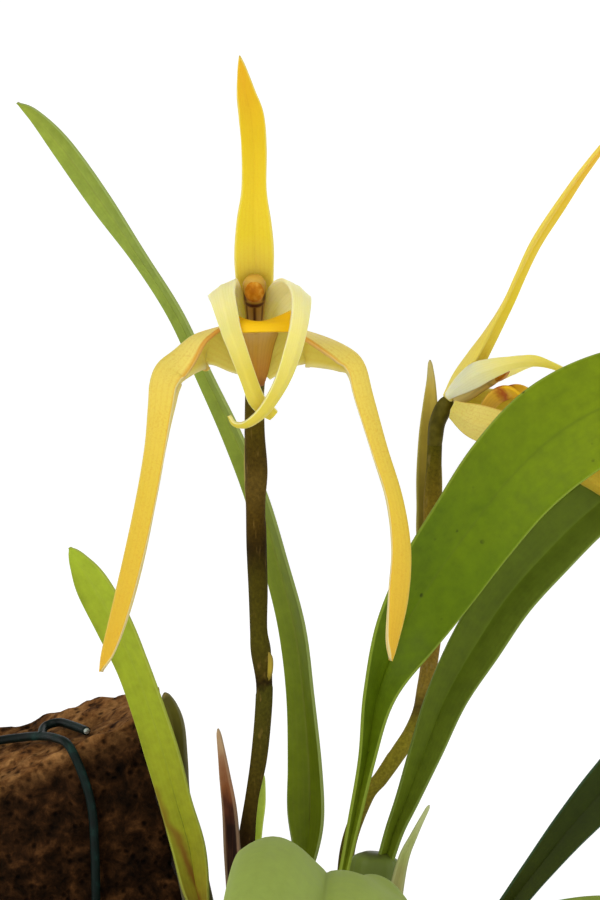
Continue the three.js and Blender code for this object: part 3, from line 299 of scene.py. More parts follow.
def leaf_skin(name, along, across, rib, rim, veins, roughness=0.5, blotch=0.14, streak=None, dots=0.0):
    """Living leaf: a satin cuticle over green that runs from foot to tip, with painted shade across it from edge to
    edge (one half lighter and one darker, as the fold takes the light), fine parallel veins, a midrib of a colour,
    strength and half width, a thin pale rim of painted highlight, and where it is marked a brown streak or 0.5 mm dark
    dots."""
    material, add, where = started(name)
    u, v = blade_place(add)
    cloud = add("TexNoise", {"Scale": 130, "Detail": 3, 0: where})
    level = strayed(add, v, cloud, 0.16)
    base = add("ValToRGB", {"stops": ramp_of(*along), 0: level})
    wide = strayed(add, u, cloud, 0.16)
    # painted shade: greys across the blade make one half lighter and the other darker, as the fold takes the light
    sides = add("ValToRGB", {"stops": [(spot, (value, value, value, 1)) for spot, value in across], 0: wide})
    body = add("Mix", {"blend_type": "MULTIPLY", 0: 1, 6: base, 7: sides})
    # cells and blotches of 1 to 4 mm
    mottle = add("TexNoise", {"Scale": 420, "Detail": 5, "Roughness": 0.65, 0: where})
    tone = add("MapRange", {1: 0.3, 2: 0.7, 3: 1 - blotch, 4: 1 + blotch, 0: mottle})
    toned = add("Mix", {"blend_type": "MULTIPLY", 0: 1, 6: body, 7: tone})
    # parallel veins
    ridge = rippled(add, u, 2 * math.pi * veins)
    vein_share = add("MapRange", {1: 0, 2: 1, 3: 0, 4: 0.1, 0: ridge})
    skin = add("Mix", {7: linear(rib[0]), 0: vein_share, 6: toned})
    # midrib, and a pale rim that is painted highlight along the edge
    reach = gap_to(add, u, 0.5)
    rib_share = add("MapRange", {"interpolation_type": "SMOOTHSTEP", 1: rib[2] * 0.2, 2: rib[2], 3: rib[1], 4: 0,
            0: reach})
    skin = add("Mix", {7: linear(rib[0]), 0: rib_share, 6: skin})
    rim_share = add("MapRange", {1: 0.486, 2: 0.5, 3: 0, 4: 0.55, 0: reach})
    skin = add("Mix", {7: linear(rim), 0: rim_share, 6: skin})
    if streak:
        # a slanting brown stain: where it crosses the foot, its slope and width, and how far up it goes
        colour, middle, slope, width, end = streak
        slant = add("Math", {"operation": "MULTIPLY_ADD", 1: slope, 0: level, 2: wide})
        far = gap_to(add, slant, middle)
        near = add("MapRange", {"interpolation_type": "SMOOTHSTEP", 1: 0, 2: width, 3: 0.85, 4: 0, 0: far})
        low = add("MapRange", {1: end * 0.5, 2: end, 3: 1, 4: 0, 0: level})
        share = add("Math", {"operation": "MULTIPLY", 0: near, 1: low})
        skin = add("Mix", {7: linear(colour), 0: share, 6: skin})
    if dots:
        cells = add("TexVoronoi", {"Scale": 420, 0: where})
        pick = add("MapRange", {1: 0.58, 2: 0.62, 3: 0, 4: dots, 0: cloud})
        speck = add("MapRange", {1: 0.12, 2: 0.22, 3: 1, 4: 0, 0: cells})
        share = add("Math", {"operation": "MULTIPLY", 0: pick, 1: speck})
        skin = add("Mix", {7: linear("#23280A"), 0: share, 6: skin})
    grain = add("TexNoise", {"Scale": 1500, "Detail": 2, 0: where})
    height = add("Math", {"operation": "MULTIPLY_ADD", 1: 0.15, 0: ridge, 2: grain})
    bump = add("Bump", {"Strength": 0.18, "Distance": 0.00012, "Height": height})
    rough = add("MapRange", {1: 0.3, 2: 0.7, 3: roughness - 0.06, 4: roughness + 0.08, 0: mottle})
    return shaded(material, {"IOR": 1.4, "Specular IOR Level": 0.13, "Subsurface Weight": 0.08,
            "Subsurface Scale": 0.0015, "Subsurface Radius": (0.6, 1, 0.2), "Base Color": skin,
            "Roughness": rough, "Normal": bump})


def petal_skin(name, along, rim, speckle, speckles, rim_width=0.05, front=None, glow=0.3):
    """Fleshy sepal or petal: waxy and slightly see-through, grained with 0.3 mm cells, faint long veins and a
    paler rim, which is orange near the foot at the front edge if there is one (0 or 1 across)."""
    material, add, where = started(name)
    u, v = blade_place(add)
    base = add("ValToRGB", {"stops": ramp_of(*along), 0: v})
    dots = add("TexNoise", {"Scale": 2600, "Detail": 2, "Roughness": 0.6, 0: where})
    patch = add("TexNoise", {"Scale": 260, "Detail": 3, 0: where})
    dot_share = add("MapRange", {1: 0.48, 2: 0.72, 3: 0, 4: speckles, 0: dots})
    patch_share = add("MapRange", {1: 0.35, 2: 0.65, 3: 0.4, 4: 1, 0: patch})
    share = add("Math", {"operation": "MULTIPLY", 0: dot_share, 1: patch_share})
    skin = add("Mix", {7: linear(speckle), 0: share, 6: base})
    ridge = rippled(add, u, 2 * math.pi * PETAL_VEINS)
    vein_share = add("MapRange", {1: 0.2, 2: 1, 3: 0, 4: 0.12, 0: ridge})
    skin = add("Mix", {7: linear(speckle), 0: vein_share, 6: skin})
    reach = gap_to(add, u, 0.5)
    rim_share = add("MapRange", {"interpolation_type": "SMOOTHSTEP", 1: 0.5 - rim_width, 2: 0.5, 3: 0, 4: 0.6,
            0: reach})
    skin = add("Mix", {7: linear(rim), 0: rim_share, 6: skin})
    if front is not None:
        near = (0.93, 0.97) if front else (0.07, 0.03)
        line = add("MapRange", {1: near[0], 2: near[1], 3: 0, 4: 0.85, 0: u})
        fade = add("MapRange", {1: 0.3, 2: 0.5, 3: 1, 4: 0, 0: v})
        share = add("Math", {"operation": "MULTIPLY", 0: line, 1: fade})
        skin = add("Mix", {7: linear("#D08C28"), 0: share, 6: skin})
    height = add("Math", {"operation": "MULTIPLY_ADD", 1: 0.2, 0: ridge, 2: dots})
    bump = add("Bump", {"Strength": 0.3, "Distance": 0.0001, "Height": height})
    return shaded(material, {"IOR": 1.4, "Roughness": 0.48, "Specular IOR Level": 0.2, "Subsurface Weight": glow,
            "Subsurface Scale": 0.0035, "Subsurface Radius": (1, 0.8, 0.25), "Base Color": skin, "Normal": bump})


def husk_skin(name, along, streak, rim, rim_share):
    """Dried plant skin, such as a sheath or a bract: papery, with long fibres of 0.3 mm and a pale thin rim."""
    material, add, where = started(name)
    u, v = blade_place(add)
    blotch = add("TexNoise", {"Scale": 300, "Detail": 3, 0: where})
    level = strayed(add, v, blotch, 0.3)
    base = add("ValToRGB", {"stops": ramp_of(*along), 0: level})
    stretch = add("Mapping", {"Scale": (1100, 1100, 70), 0: where})
    fibre = add("TexNoise", {"Scale": 1, "Detail": 4, "Roughness": 0.6, 0: stretch})
    fibre_share = add("MapRange", {1: 0.5, 2: 0.75, 3: 0, 4: 0.35, 0: fibre})
    skin = add("Mix", {7: linear(streak), 0: fibre_share, 6: base})
    reach = gap_to(add, u, 0.5)
    edge = add("MapRange", {1: 0.4, 2: 0.48, 3: 0, 4: rim_share, 0: reach})
    skin = add("Mix", {7: linear(rim), 0: edge, 6: skin})
    bump = add("Bump", {"Strength": 0.5, "Distance": 0.0002, "Height": fibre})
    return shaded(material, {"Roughness": 0.75, "Specular IOR Level": 0.15, "Base Color": skin, "Normal": bump})


def stalk_skin(name, along, fibre_colour):
    """Flower stalk wrapped in dry sheaths: olive to brown in bands up its height in mm, mottled in 0.5 mm grains,
    with short pale fibres where a sheath frays."""
    material, add, where = started(name)
    spot = add("SeparateXYZ", {0: where})
    low, high = along[0][0], along[-1][0]
    rise = add("MapRange", {1: low * MM, 2: high * MM, 0: spot.outputs["Z"]})
    blotch = add("TexNoise", {"Scale": 300, "Detail": 3, 0: where})
    place = strayed(add, rise, blotch, 0.05)
    stops = [((height - low) / (high - low), colour) for height, colour in along]
    base = add("ValToRGB", {"stops": ramp_of(*stops), 0: place})
    grain = add("TexNoise", {"Scale": 1900, "Detail": 3, "Roughness": 0.6, 0: where})
    tone = add("MapRange", {1: 0.3, 2: 0.7, 3: 0.72, 4: 1.3, 0: grain})
    skin = add("Mix", {"blend_type": "MULTIPLY", 0: 1, 6: base, 7: tone})
    stretch = add("Mapping", {"Scale": (1500, 1500, 260), "Rotation": (0, 0.5, 0), 0: where})
    fibre = add("TexNoise", {"Scale": 1, "Detail": 3, 0: stretch})
    fray = add("MapRange", {1: 0.5, 2: 0.62, 3: 0, 4: 1, 0: blotch})
    thread = add("MapRange", {1: 0.55, 2: 0.7, 3: 0, 4: 0.5, 0: fibre})
    share = add("Math", {"operation": "MULTIPLY", 0: thread, 1: fray})
    skin = add("Mix", {7: linear(fibre_colour), 0: share, 6: skin})
    height = add("Math", {"operation": "ADD", 0: grain, 1: share})
    bump = add("Bump", {"Strength": 0.4, "Distance": 0.0002, "Height": height})
    return shaded(material, {"Roughness": 0.7, "Specular IOR Level": 0.05, "Base Color": skin, "Normal": bump})


def plain_flesh(name, colours, roughness, glow, scale):
    """Smooth flower flesh, such as the ovary and the anther cap: a waxy skin with soft changes of colour."""
    material, add, where = started(name)
    cloud = add("TexNoise", {"Scale": scale, "Detail": 2, 0: where})
    base = add("ValToRGB", {"stops": ramp_of(*colours), 0: cloud})
    bump = add("Bump", {"Strength": 0.2, "Distance": 0.0001, "Height": cloud})
    return shaded(material, {"IOR": 1.4, "Roughness": roughness, "Specular IOR Level": 0.1,
            "Subsurface Weight": glow, "Subsurface Scale": 0.001,
            "Subsurface Radius": (1, 0.7, 0.3), "Base Color": base, "Normal": bump})


def terracotta_body(name):
    """Thrown and fired clay: orange brown, faint turning lines, fine grit, and a bloom of lime near the foot."""
    material, add, where = started(name)
    spot = add("SeparateXYZ", {0: where})
    cloud = add("TexNoise", {"Scale": 32, "Detail": 5, "Roughness": 0.6, 0: where})
    base = add("ValToRGB", {"stops": ramp_of((0.3, "#9C5534"), (0.5, "#B5653F"), (0.72, "#C47A52")), 0: cloud})
    # a turning line every 3.5 mm
    lines = add("Math", {"operation": "MULTIPLY_ADD", 1: 1800.0, 0: spot.outputs["Z"], 2: cloud})
    line = add("Math", {"operation": "SINE", 0: lines})
    grit = add("TexNoise", {"Scale": 2200, "Detail": 2, 0: where})
    foot = add("MapRange", {1: 0, 2: 0.05, 3: 0.62, 4: 0, 0: spot.outputs["Z"]})
    stain = add("TexNoise", {"Scale": 75, "Detail": 6, "Roughness": 0.7, 0: where})
    stain_share = add("MapRange", {1: 0.48, 2: 0.68, 3: 0.12, 4: 1, 0: stain})
    bloom_share = add("Math", {"operation": "MULTIPLY", 0: foot, 1: stain_share})
    limed = add("Mix", {7: linear("#D9C6B2"), 0: bloom_share, 6: base})
    height = add("Math", {"operation": "MULTIPLY_ADD", 1: 0.35, 0: line, 2: grit})
    bump = add("Bump", {"Strength": 0.35, "Distance": 0.0003, "Height": height})
    return shaded(material, {"Roughness": 0.86, "Specular IOR Level": 0.25, "Base Color": limed, "Normal": bump})


def bark_chip(name):
    """Broken pine bark: layered red brown to grey brown chips, each its own shade, with 1 mm flakes."""
    material, add, where = started(name)
    shade = add("Attribute", {"attribute_name": "shade"})
    layers = add("TexNoise", {"Scale": 420, "Detail": 5, "Roughness": 0.65, 0: where})
    mixed = add("Math", {"operation": "MULTIPLY_ADD", 1: 0.55, 0: layers, 2: shade.outputs["Fac"]})
    base = add("ValToRGB", {"stops": ramp_of((0.25, "#2E1A10"), (0.5, "#5A3820"), (0.75, "#7C5234"), (1, "#A07A58")),
            0: mixed})
    bump = add("Bump", {"Strength": 0.8, "Distance": 0.0006, "Height": layers})
    return shaded(material, {"Roughness": 0.92, "Specular IOR Level": 0.2, "Base Color": base, "Normal": bump})


def fern_fibre(name):
    """Sawn tree fern trunk: a mat of near black rootlets in 3 mm patches with 1 mm pits, with painted light that makes
    it lighter and tan along the top edge.
    """
    material, add, where = started(name)
    mat = add("TexNoise", {"Scale": 330, "Detail": 6, "Roughness": 0.6, "Distortion": 0.4, 0: where})
    fine = add("TexNoise", {"Scale": 1300, "Detail": 4, "Roughness": 0.7, 0: where})
    pits = add("TexVoronoi", {"Scale": 520, "Randomness": 1, 0: where})
    dark = add("ValToRGB", {"stops": ramp_of((0.34, "#100904"), (0.48, "#241509"), (0.58, "#35200F"),
            (0.72, "#54361C")), 0: mat})
    # painted light: the lighter tan colours of the lit top edge
    dry = add("ValToRGB", {"stops": ramp_of((0.34, "#3A2412"), (0.46, "#7C522C"), (0.66, "#A87A48")), 0: mat})
    lit_top_share = add("Attribute", {"attribute_name": "shade"})
    base = add("Mix", {0: lit_top_share.outputs["Fac"], 6: dark, 7: dry})
    hole = add("MapRange", {1: 0.1, 2: 0.34, 3: 0.25, 4: 1, 0: pits})
    grain = add("MapRange", {1: 0.3, 2: 0.7, 3: 0.7, 4: 1.25, 0: fine})
    tone = add("Math", {"operation": "MULTIPLY", 0: hole, 1: grain})
    grained = add("Mix", {"blend_type": "MULTIPLY", 0: 1, 6: base, 7: tone})
    height = add("Math", {"operation": "MULTIPLY_ADD", 1: 0.6, 0: hole, 2: mat})
    bump = add("Bump", {"Strength": 0.9, "Distance": 0.0008, "Height": height})
    return shaded(material, {"Roughness": 0.97, "Specular IOR Level": 0.05, "Base Color": grained, "Normal": bump})


def plastic_coat(name):
    """Garden wire in a drawn PVC coat: near black green, with a soft shine where it is scuffed."""
    material, add, where = started(name)
    scuff = add("TexNoise", {"Scale": 320, "Detail": 4, 0: where})
    base = add("ValToRGB", {"stops": ramp_of((0.35, "#060E0B"), (0.6, "#0A1C18"), (0.75, "#16342E")), 0: scuff})
    rough = add("MapRange", {1: 0.3, 2: 0.7, 3: 0.35, 4: 0.55, 0: scuff})
    return shaded(material, {"Specular IOR Level": 0.12, "Base Color": base, "Roughness": rough})


def steel_core_and_highlight(name):
    """The cut end of the wire's steel core: pale grey, with the fine marks of the cutter. Its pale tone is partly bare
    steel and partly a painted highlight on the wire's loose end.
    """
    material, add, where = started(name)
    marks = add("TexNoise", {"Scale": 4000, "Detail": 3, 0: where})
    base = add("ValToRGB", {"stops": ramp_of((0.35, "#8E9A90"), (0.65, "#C4CCC4")), 0: marks})
    bump = add("Bump", {"Strength": 0.4, "Distance": 0.0001, "Height": marks})
    return shaded(material, {"Metallic": 0.6, "Roughness": 0.45, "Base Color": base, "Normal": bump})


def root_skin(name):
    """Orchid root in its spongy silver coat, green under it where it is damp."""
    material, add, where = started(name)
    cloud = add("TexNoise", {"Scale": 130, "Detail": 4, 0: where})
    base = add("ValToRGB", {"stops": ramp_of((0.3, "#6E7450"), (0.5, "#A6A68E"), (0.7, "#C9C7B6")), 0: cloud})
    fine = add("TexNoise", {"Scale": 1800, "Detail": 3, 0: where})
    bump = add("Bump", {"Strength": 0.4, "Distance": 0.0002, "Height": fine})
    return shaded(material, {"Roughness": 0.8, "Base Color": base, "Normal": bump})


def bulb_skin(name):
    """Living pseudobulb: ribbed green skin that browns at the neck and foot, with a satin shine."""
    material, add, where = started(name)
    u, v = blade_place(add)
    cloud = add("TexNoise", {"Scale": 260, "Detail": 4, 0: where})
    level = strayed(add, v, cloud, 0.24)
    base = add("ValToRGB", {"stops": ramp_of((0, "#6A4A28"), (0.2, "#6E7434"), (0.6, "#64742A"), (0.9, "#66762C"),
            (1, "#4A5018")), 0: level})
    bump = add("Bump", {"Strength": 0.3, "Distance": 0.0003, "Height": cloud})
    return shaded(material, {"Roughness": 0.5, "Specular IOR Level": 0.25, "Base Color": base, "Normal": bump})


def lip_skin(name, along):
    """The lip's outer face: tan and brown with fine red veins at the hinge, turning to clear yellow at the rim."""
    material, add, where = started(name)
    u, v = blade_place(add)
    cloud = add("TexNoise", {"Scale": 700, "Detail": 3, 0: where})
    level = strayed(add, v, cloud, 0.12)
    base = add("ValToRGB", {"stops": ramp_of(*along), 0: level})
    ridge = rippled(add, u, 70.0)
    streak = add("MapRange", {1: 0.2, 2: 1, 3: 0, 4: 0.12, 0: ridge})
    fade = add("MapRange", {1: 0.3, 2: 0.65, 3: 1, 4: 0, 0: v})
    share = add("Math", {"operation": "MULTIPLY", 0: streak, 1: fade})
    streaked = add("Mix", {7: linear("#7A4418"), 0: share, 6: base})
    bump = add("Bump", {"Strength": 0.2, "Distance": 0.0001, "Height": cloud})
    return shaded(material, {"Roughness": 0.42, "Specular IOR Level": 0.2, "Subsurface Weight": 0.1,
            "Subsurface Scale": 0.001, "Subsurface Radius": (1, 0.7, 0.3), "Base Color": streaked, "Normal": bump})


def column_skin(name, along, marks):
    """The column's flesh: golden, with dark red stripes down its face, a dark band under the cap and a dark mark at
    each side of it, as strong as marks says, and a tan hood."""
    material, add, where = started(name)
    u, v = blade_place(add)
    # the front of the rolled grid is at u = 0.75
    reach = gap_to(add, u, 0.75)
    ridge = rippled(add, reach, 45.0)
    stripe = add("MapRange", {1: 0, 2: 1, 3: 0, 4: 0.85, 0: ridge})
    front = add("MapRange", {1: 0.15, 2: 0.2, 3: 1, 4: 0, 0: reach})
    below = add("MapRange", {1: 0.1, 2: 0.3, 3: 0.2, 4: 1, 0: v})
    above = add("MapRange", {1: 0.44, 2: 0.48, 3: 1, 4: 0, 0: v})
    faced = add("Math", {"operation": "MULTIPLY", 0: front, 1: below})
    framed = add("Math", {"operation": "MULTIPLY", 0: faced, 1: above})
    striped = add("Math", {"operation": "MULTIPLY", 0: framed, 1: stripe})
    away = gap_to(add, v, 0.47)
    band = add("MapRange", {1: 0.012, 2: 0.035, 3: 0.95, 4: 0, 0: away})
    banded = add("Math", {"operation": "MULTIPLY", 0: band, 1: front})
    height = gap_to(add, v, 0.535)
    high = add("MapRange", {1: 0.03, 2: 0.075, 3: 0.9, 4: 0, 0: height})
    beside = add("MapRange", {1: 0.1, 2: 0.14, 3: 0, 4: 1, 0: reach})
    within = add("MapRange", {1: 0.22, 2: 0.25, 3: 1, 4: 0, 0: reach})
    sided = add("Math", {"operation": "MULTIPLY", 0: beside, 1: within})
    marked = add("Math", {"operation": "MULTIPLY", 0: sided, 1: high})
    most = add("Math", {"operation": "MAXIMUM", 0: striped, 1: banded})
    share = add("Math", {"operation": "MAXIMUM", 0: most, 1: marked})
    base = add("ValToRGB", {"stops": ramp_of(*along), 0: v})
    seen = add("Math", {"operation": "MULTIPLY", 1: marks, 0: share})
    skin = add("Mix", {7: linear("#46180A"), 0: seen, 6: base})
    return shaded(material, {"Roughness": 0.45, "Specular IOR Level": 0.2, "Base Color": skin})


def studio_white(name, glow):
    """Matt white studio paper, a little bright of itself so that it shows no grey."""
    material, add, where = started(name)
    tooth = add("TexNoise", {"Scale": 900, "Detail": 2, 0: where})
    bump = add("Bump", {"Strength": 0.03, "Distance": 0.0002, "Height": tooth})
    return shaded(material, {"Base Color": linear("#BDBDBD"), "Roughness": 0.95, "Specular IOR Level": 0,
            "Emission Color": linear("#FFFFFF"), "Emission Strength": glow, "Normal": bump})


# Pot and what fills it ------------------------------------------------------

CLAY = terracotta_body("terracotta_thrown")
CHIPS = bark_chip("pine_bark_broken")

POT_PROFILE = [
    (0, 0), (38, 0), (41.6, 0), (42.7, 0.4), (43.1, 1.4), (50.5, 44), (57.3, 80), (58.2, 81.6), (62, 82.2),
    (63.2, 83), (63.6, 84.4), (64.9, 96.6), (64.9, 98.4), (64.2, 99.6), (63, 100), (61.8, 99.8), (60.9, 99),
    (60.3, 97.6), (59.6, 92), (52, 50), (45.5, 14), (44, 9.4), (41, 6.8), (37, 6), (0, 6),
]
DRAINS = 4
DRAIN_CIRCLE = 24
DRAIN_RADIUS = 4.5
DRAIN_REACH = 30  # the length of a cutter, half of it above the table


def drained(pot):
    """Cuts the drain holes through the pot's floor."""
    cutters = bmesh.new()
    for index in range(DRAINS):
        angle = (index + 0.5) * 2 * math.pi / DRAINS
        middle = Vector((math.cos(angle), math.sin(angle), 0)) * DRAIN_CIRCLE * MM
        bmesh.ops.create_cone(
            cutters, cap_ends=True, segments=32, radius1=DRAIN_RADIUS * MM, radius2=DRAIN_RADIUS * MM,
            depth=DRAIN_REACH * MM, matrix=Matrix.Translation(middle),
        )
    tool = shown("drains", cutters)
    cut = pot.modifiers.new("drains", "BOOLEAN")
    cut.operation = "DIFFERENCE"
    cut.object = tool
    cut.solver = "EXACT"
    seen = bpy.context.evaluated_depsgraph_get()
    done = bpy.data.meshes.new_from_object(pot.evaluated_get(seen))
    pot.modifiers.clear()
    pot.data = done
    bpy.data.objects.remove(tool)


pot = piece("pot_body", turned(POT_PROFILE, 128), [CLAY], "pot")
drained(pot)
pot.data.polygons.foreach_set("use_smooth", [True] * len(pot.data.polygons))
pot.data.set_sharp_from_angle(angle=math.radians(40))

BARK_PROFILE = [
    (0, 6.4), (36.5, 6.4), (43.6, 11), (58.6, 90.5), (50, 93), (40, 95), (30, 96.4), (20, 97.2), (10, 97.6), (0, 97.8),
]
CHIP_COUNT = 270
CHIP_CIRCLE = 53.5  # radius over which the chips lie
CHIP_EDGE = 0.9
BARK_TOP = 98.4
BARK_FALL = 6.2  # from the middle to the rim
random.seed(5)


def bark_chips():
    """The mound with its chips, laid on a sunflower spiral and each turned, tilted and toned by chance."""
    bm = turned(BARK_PROFILE, 64)
    shade = bm.verts.layers.float.new("shade")
    for vert in bm.verts:
        vert[shade] = 0.1
    for index in range(CHIP_COUNT):
        reach = CHIP_CIRCLE * math.sqrt((index + 0.5) / CHIP_COUNT)
        angle = index * math.pi * (3 - math.sqrt(5))
        size = (random.uniform(7, 14), random.uniform(5, 8.5), random.uniform(2, 4.2))
        height = BARK_TOP - BARK_FALL * (reach / CHIP_CIRCLE) ** 2 + random.uniform(-1.2, 0.6)
        place = Matrix.Translation(Vector((reach * math.cos(angle), reach * math.sin(angle), height)) * MM)
        tilt = Matrix.Rotation(random.uniform(-0.3, 0.3), 4, "X") @ Matrix.Rotation(random.uniform(-0.3, 0.3), 4, "Y")
        turn = Matrix.Rotation(random.uniform(0, math.pi), 4, "Z")
        scale = Matrix.Diagonal(Vector(size) * MM).to_4x4()
        chip = bmesh.ops.create_cube(bm, size=1, matrix=place @ turn @ tilt @ scale)["verts"]
        edges = list(dict.fromkeys(edge for vert in chip for edge in vert.link_edges))
        rounded = bmesh.ops.bevel(
            bm, geom=edges, offset=CHIP_EDGE * MM, offset_type="OFFSET", affect="EDGES", segments=1, profile=0.5,
            material=-1,
        )
        tone = random.uniform(0.05, 0.6)
        middle = place.to_translation()
        for vert in rounded["verts"]:
            vert[shade] = tone
            wobble = noise.noise(vert.co * 260 + Vector((index, 0, 0)))
            vert.co = middle + (vert.co - middle) * (1 + 0.22 * wobble)
    return bm


piece("potting_bark_chips", bark_chips(), [CHIPS], "potting_bark")

# Tree fern block and its wire -----------------------------------------------

BLOCK_FOOT = [(-50, 14, 84), (-11, 14, 84), (-13, 34, 84), (-38, 33, 84)]
BLOCK_HEAD = [(-62, 14, 131.4), (-25.5, 14, 148.2), (-22.5, 31, 151.5), (-58, 42, 141.4)]


def fern_block():
    """The block between its foot and head corners, its faces pushed in and out in lumps, waves and pits."""
    bm = bmesh.new()
    bmesh.ops.create_cube(bm, size=1)
    bmesh.ops.subdivide_edges(bm, edges=bm.edges, cuts=44, use_grid_fill=True)
    shade = bm.verts.layers.float.new("shade")
    foot = [Vector(corner) for corner in BLOCK_FOOT]
    head = [Vector(corner) for corner in BLOCK_HEAD]
    middle = sum(foot + head, Vector()) / 8
    for vert in bm.verts:
        u, v, w = (value + 0.5 for value in vert.co)
        low = foot[0].lerp(foot[1], u).lerp(foot[3].lerp(foot[2], u), v)
        high = head[0].lerp(head[1], u).lerp(head[3].lerp(head[2], u), v)
        point = low.lerp(high, w)
        out = point - middle
        out.z = 0
        out = Vector((0, 0, 1)) if w > 0.999 else out.normalized()
        lumps = noise.fractal(point * 0.11, 1.0, 2.0, 4)
        pits = noise.turbulence(point * 0.3 + Vector((3, 1, 7)), 3, False)
        wave = math.sin(0.61 * point.x + 1.3) * math.sin(0.83 * point.y + 0.47 * point.z)
        wave += math.sin(0.9 * point.z - 0.53 * point.x)
        push = 0.35 * wave - 0.5 + 1.1 * lumps - 1.6 * max(0, pits - 0.35)
        # painted light: lighter and tan near the top, where the light falls on the top edge
        vert[shade] = max(0.0, min(1.0, (w - 0.92) * 14)) * (0.7 + 0.5 * lumps)
        vert.co = (point + out * push) * MM
    bmesh.ops.recalc_face_normals(bm, faces=bm.faces)
    return bm


piece("fern_block_fibres", fern_block(), [fern_fibre("tree_fern_sawn")], "fern_block")

WIRE = [
    (-33.4, 12.6, 94), (-33.6, 12.6, 108), (-33.8, 12.6, 122), (-34.4, 12.6, 131), (-36.2, 12.7, 137.4),
    (-38.6, 13.6, 142.3), (-41, 16.8, 143.2), (-44.4, 21.6, 143), (-49, 26, 142), (-55.2, 29.4, 140.5),
    (-60, 30.6, 138.6), (-62, 30.4, 134.4), (-57.8, 29.3, 122), (-53, 28.2, 108), (-48.6, 26.9, 94),
]
# the loose end, twisted back over the block
WIRE_END = [(-44.4, 21.4, 143), (-44, 25.4, 144.2), (-41.4, 25.6, 145), (-38.4, 21.8, 144.9), (-35.6, 17.4, 144.6)]
WIRE_RADIUS = 0.85
CUT_END = [(-35.9, 17.85, 144.63, 0.62), (-35.6, 17.4, 144.6, 0.62), (-35.46, 17.2, 144.59, 0.55)]


def tie_wire():
    bm = stem([(*point, WIRE_RADIUS) for point in WIRE], 16, 160)
    added(bm, stem([(*point, WIRE_RADIUS) for point in WIRE_END], 16, 40))
    return bm


piece("tie_wire_coated", tie_wire(), [plastic_coat("pvc_coated_wire")], "tie_wire")
# the cut end's pale steel, partly bare steel and partly a painted highlight on the loose end
piece("tie_wire_cut_end", stem(CUT_END, 16, 4), [steel_core_and_highlight("steel_core_cut_and_highlight")], "tie_wire")

# Rhizome, roots and bulbs ---------------------------------------------------

RHIZOME_LEVEL = 94.8
RHIZOME_RADIUS = 2.3
ROOT_RADIUS = 1.0
RHIZOME = [
    [(-21, 2), (-12, 4), (-3, 6), (6, 9), (14, 8), (24, 6), (34, 6)],
    [(9, -26), (10, -14), (10.5, -3), (13, 8)],
    [(27, -15), (26, -6), (25, 6)],
]
ROOTS = [
    [(-18, 2, 94.6), (-24, -3, 99.5), (-32, -10, 100.6), (-40, -16, 97), (-44, -19, 91)],
    [(9.5, -25, 94.6), (3, -33, 99.8), (-6, -38, 99.8), (-13, -43, 93)],
    [(27, -12, 94.6), (34, -20, 99), (38, -30, 99), (40, -38, 91.5)],
    [(32, 6, 94.6), (40, 14, 99.2), (44, 24, 97.6), (43, 33, 90.5)],
    [(2, 8, 94.6), (1, 22, 99.6), (-2, 34, 99.6), (-4, 44, 92)],
]


def rhizome():
    """The creeping stem with its rings, and the roots that come off it."""
    bm = bmesh.new()
    for run in RHIZOME:
        rows = [(*spot, RHIZOME_LEVEL, RHIZOME_RADIUS) for spot in run]
        added(bm, stem(rows, 20, 60, swell=lambda angle, v: 1 + 0.12 * math.sin(60 * v)))
    for root in ROOTS:
        rows = [(*point, ROOT_RADIUS) for point in root]
        added(bm, stem(rows, 14, 60, swell=lambda angle, v: 1 + 0.07 * math.sin(31 * v + 2)))
    return bm


piece("rhizome_with_roots", rhizome(), [root_skin("silver_root")], "rhizome_and_roots")

BULB_FOOT = 97.2
NECK = 0.36
# [x, y, top height, half width, lean of the neck to the right, share of the width left at the neck]
BULBS = {
    "tall": (5.5, 12.5, 118, 5, -0.3, NECK),
    "short": (-12.5, 4, 112, 5.4, -0.9, NECK),
    "broad": (10.5, -3.5, 115.5, 5.6, 0.7, NECK),
    "second": (17.4, 9.6, 123, 6.1, 1.3, 0.7),
    "dark": (32.5, 6, 104.5, 5, 1.6, NECK),
    "front": (9, -23, 114.5, 6, 0, NECK),
    "side": (27, -13, 107, 5, 1.2, NECK),
}
# [how far up, share of the half width]
BULB_SHAPE = [(0, 0.45), (0.17, 0.85), (0.33, 1), (0.5, 0.97), (0.67, 0.84), (0.83, 0.62), (0.95, 0.42), (1, 0.2)]
BULB_SKIN = bulb_skin("pseudobulb_ribbed")


def bulb_ribs(angle, v):
    return 1 + 0.07 * math.cos(6 * angle) * (1 - v * v) + 0.02 * math.sin(17 * angle + 9 * v)


for label, (x, y, top, radius, lean, neck) in BULBS.items():
    rows = []
    for level, plain in BULB_SHAPE:
        share = plain + (neck - NECK) * level**4 * (0.4 if level == 1 else 1)
        rows.append((x + lean * level**2, y, BULB_FOOT + (top - BULB_FOOT) * level, radius * share))
    piece(f"bulb_{label}", stem(rows, 48, 28, 0.8, bulb_ribs), [BULB_SKIN], f"pseudobulb_{label}")

# Leaves ---------------------------------------------------------------------

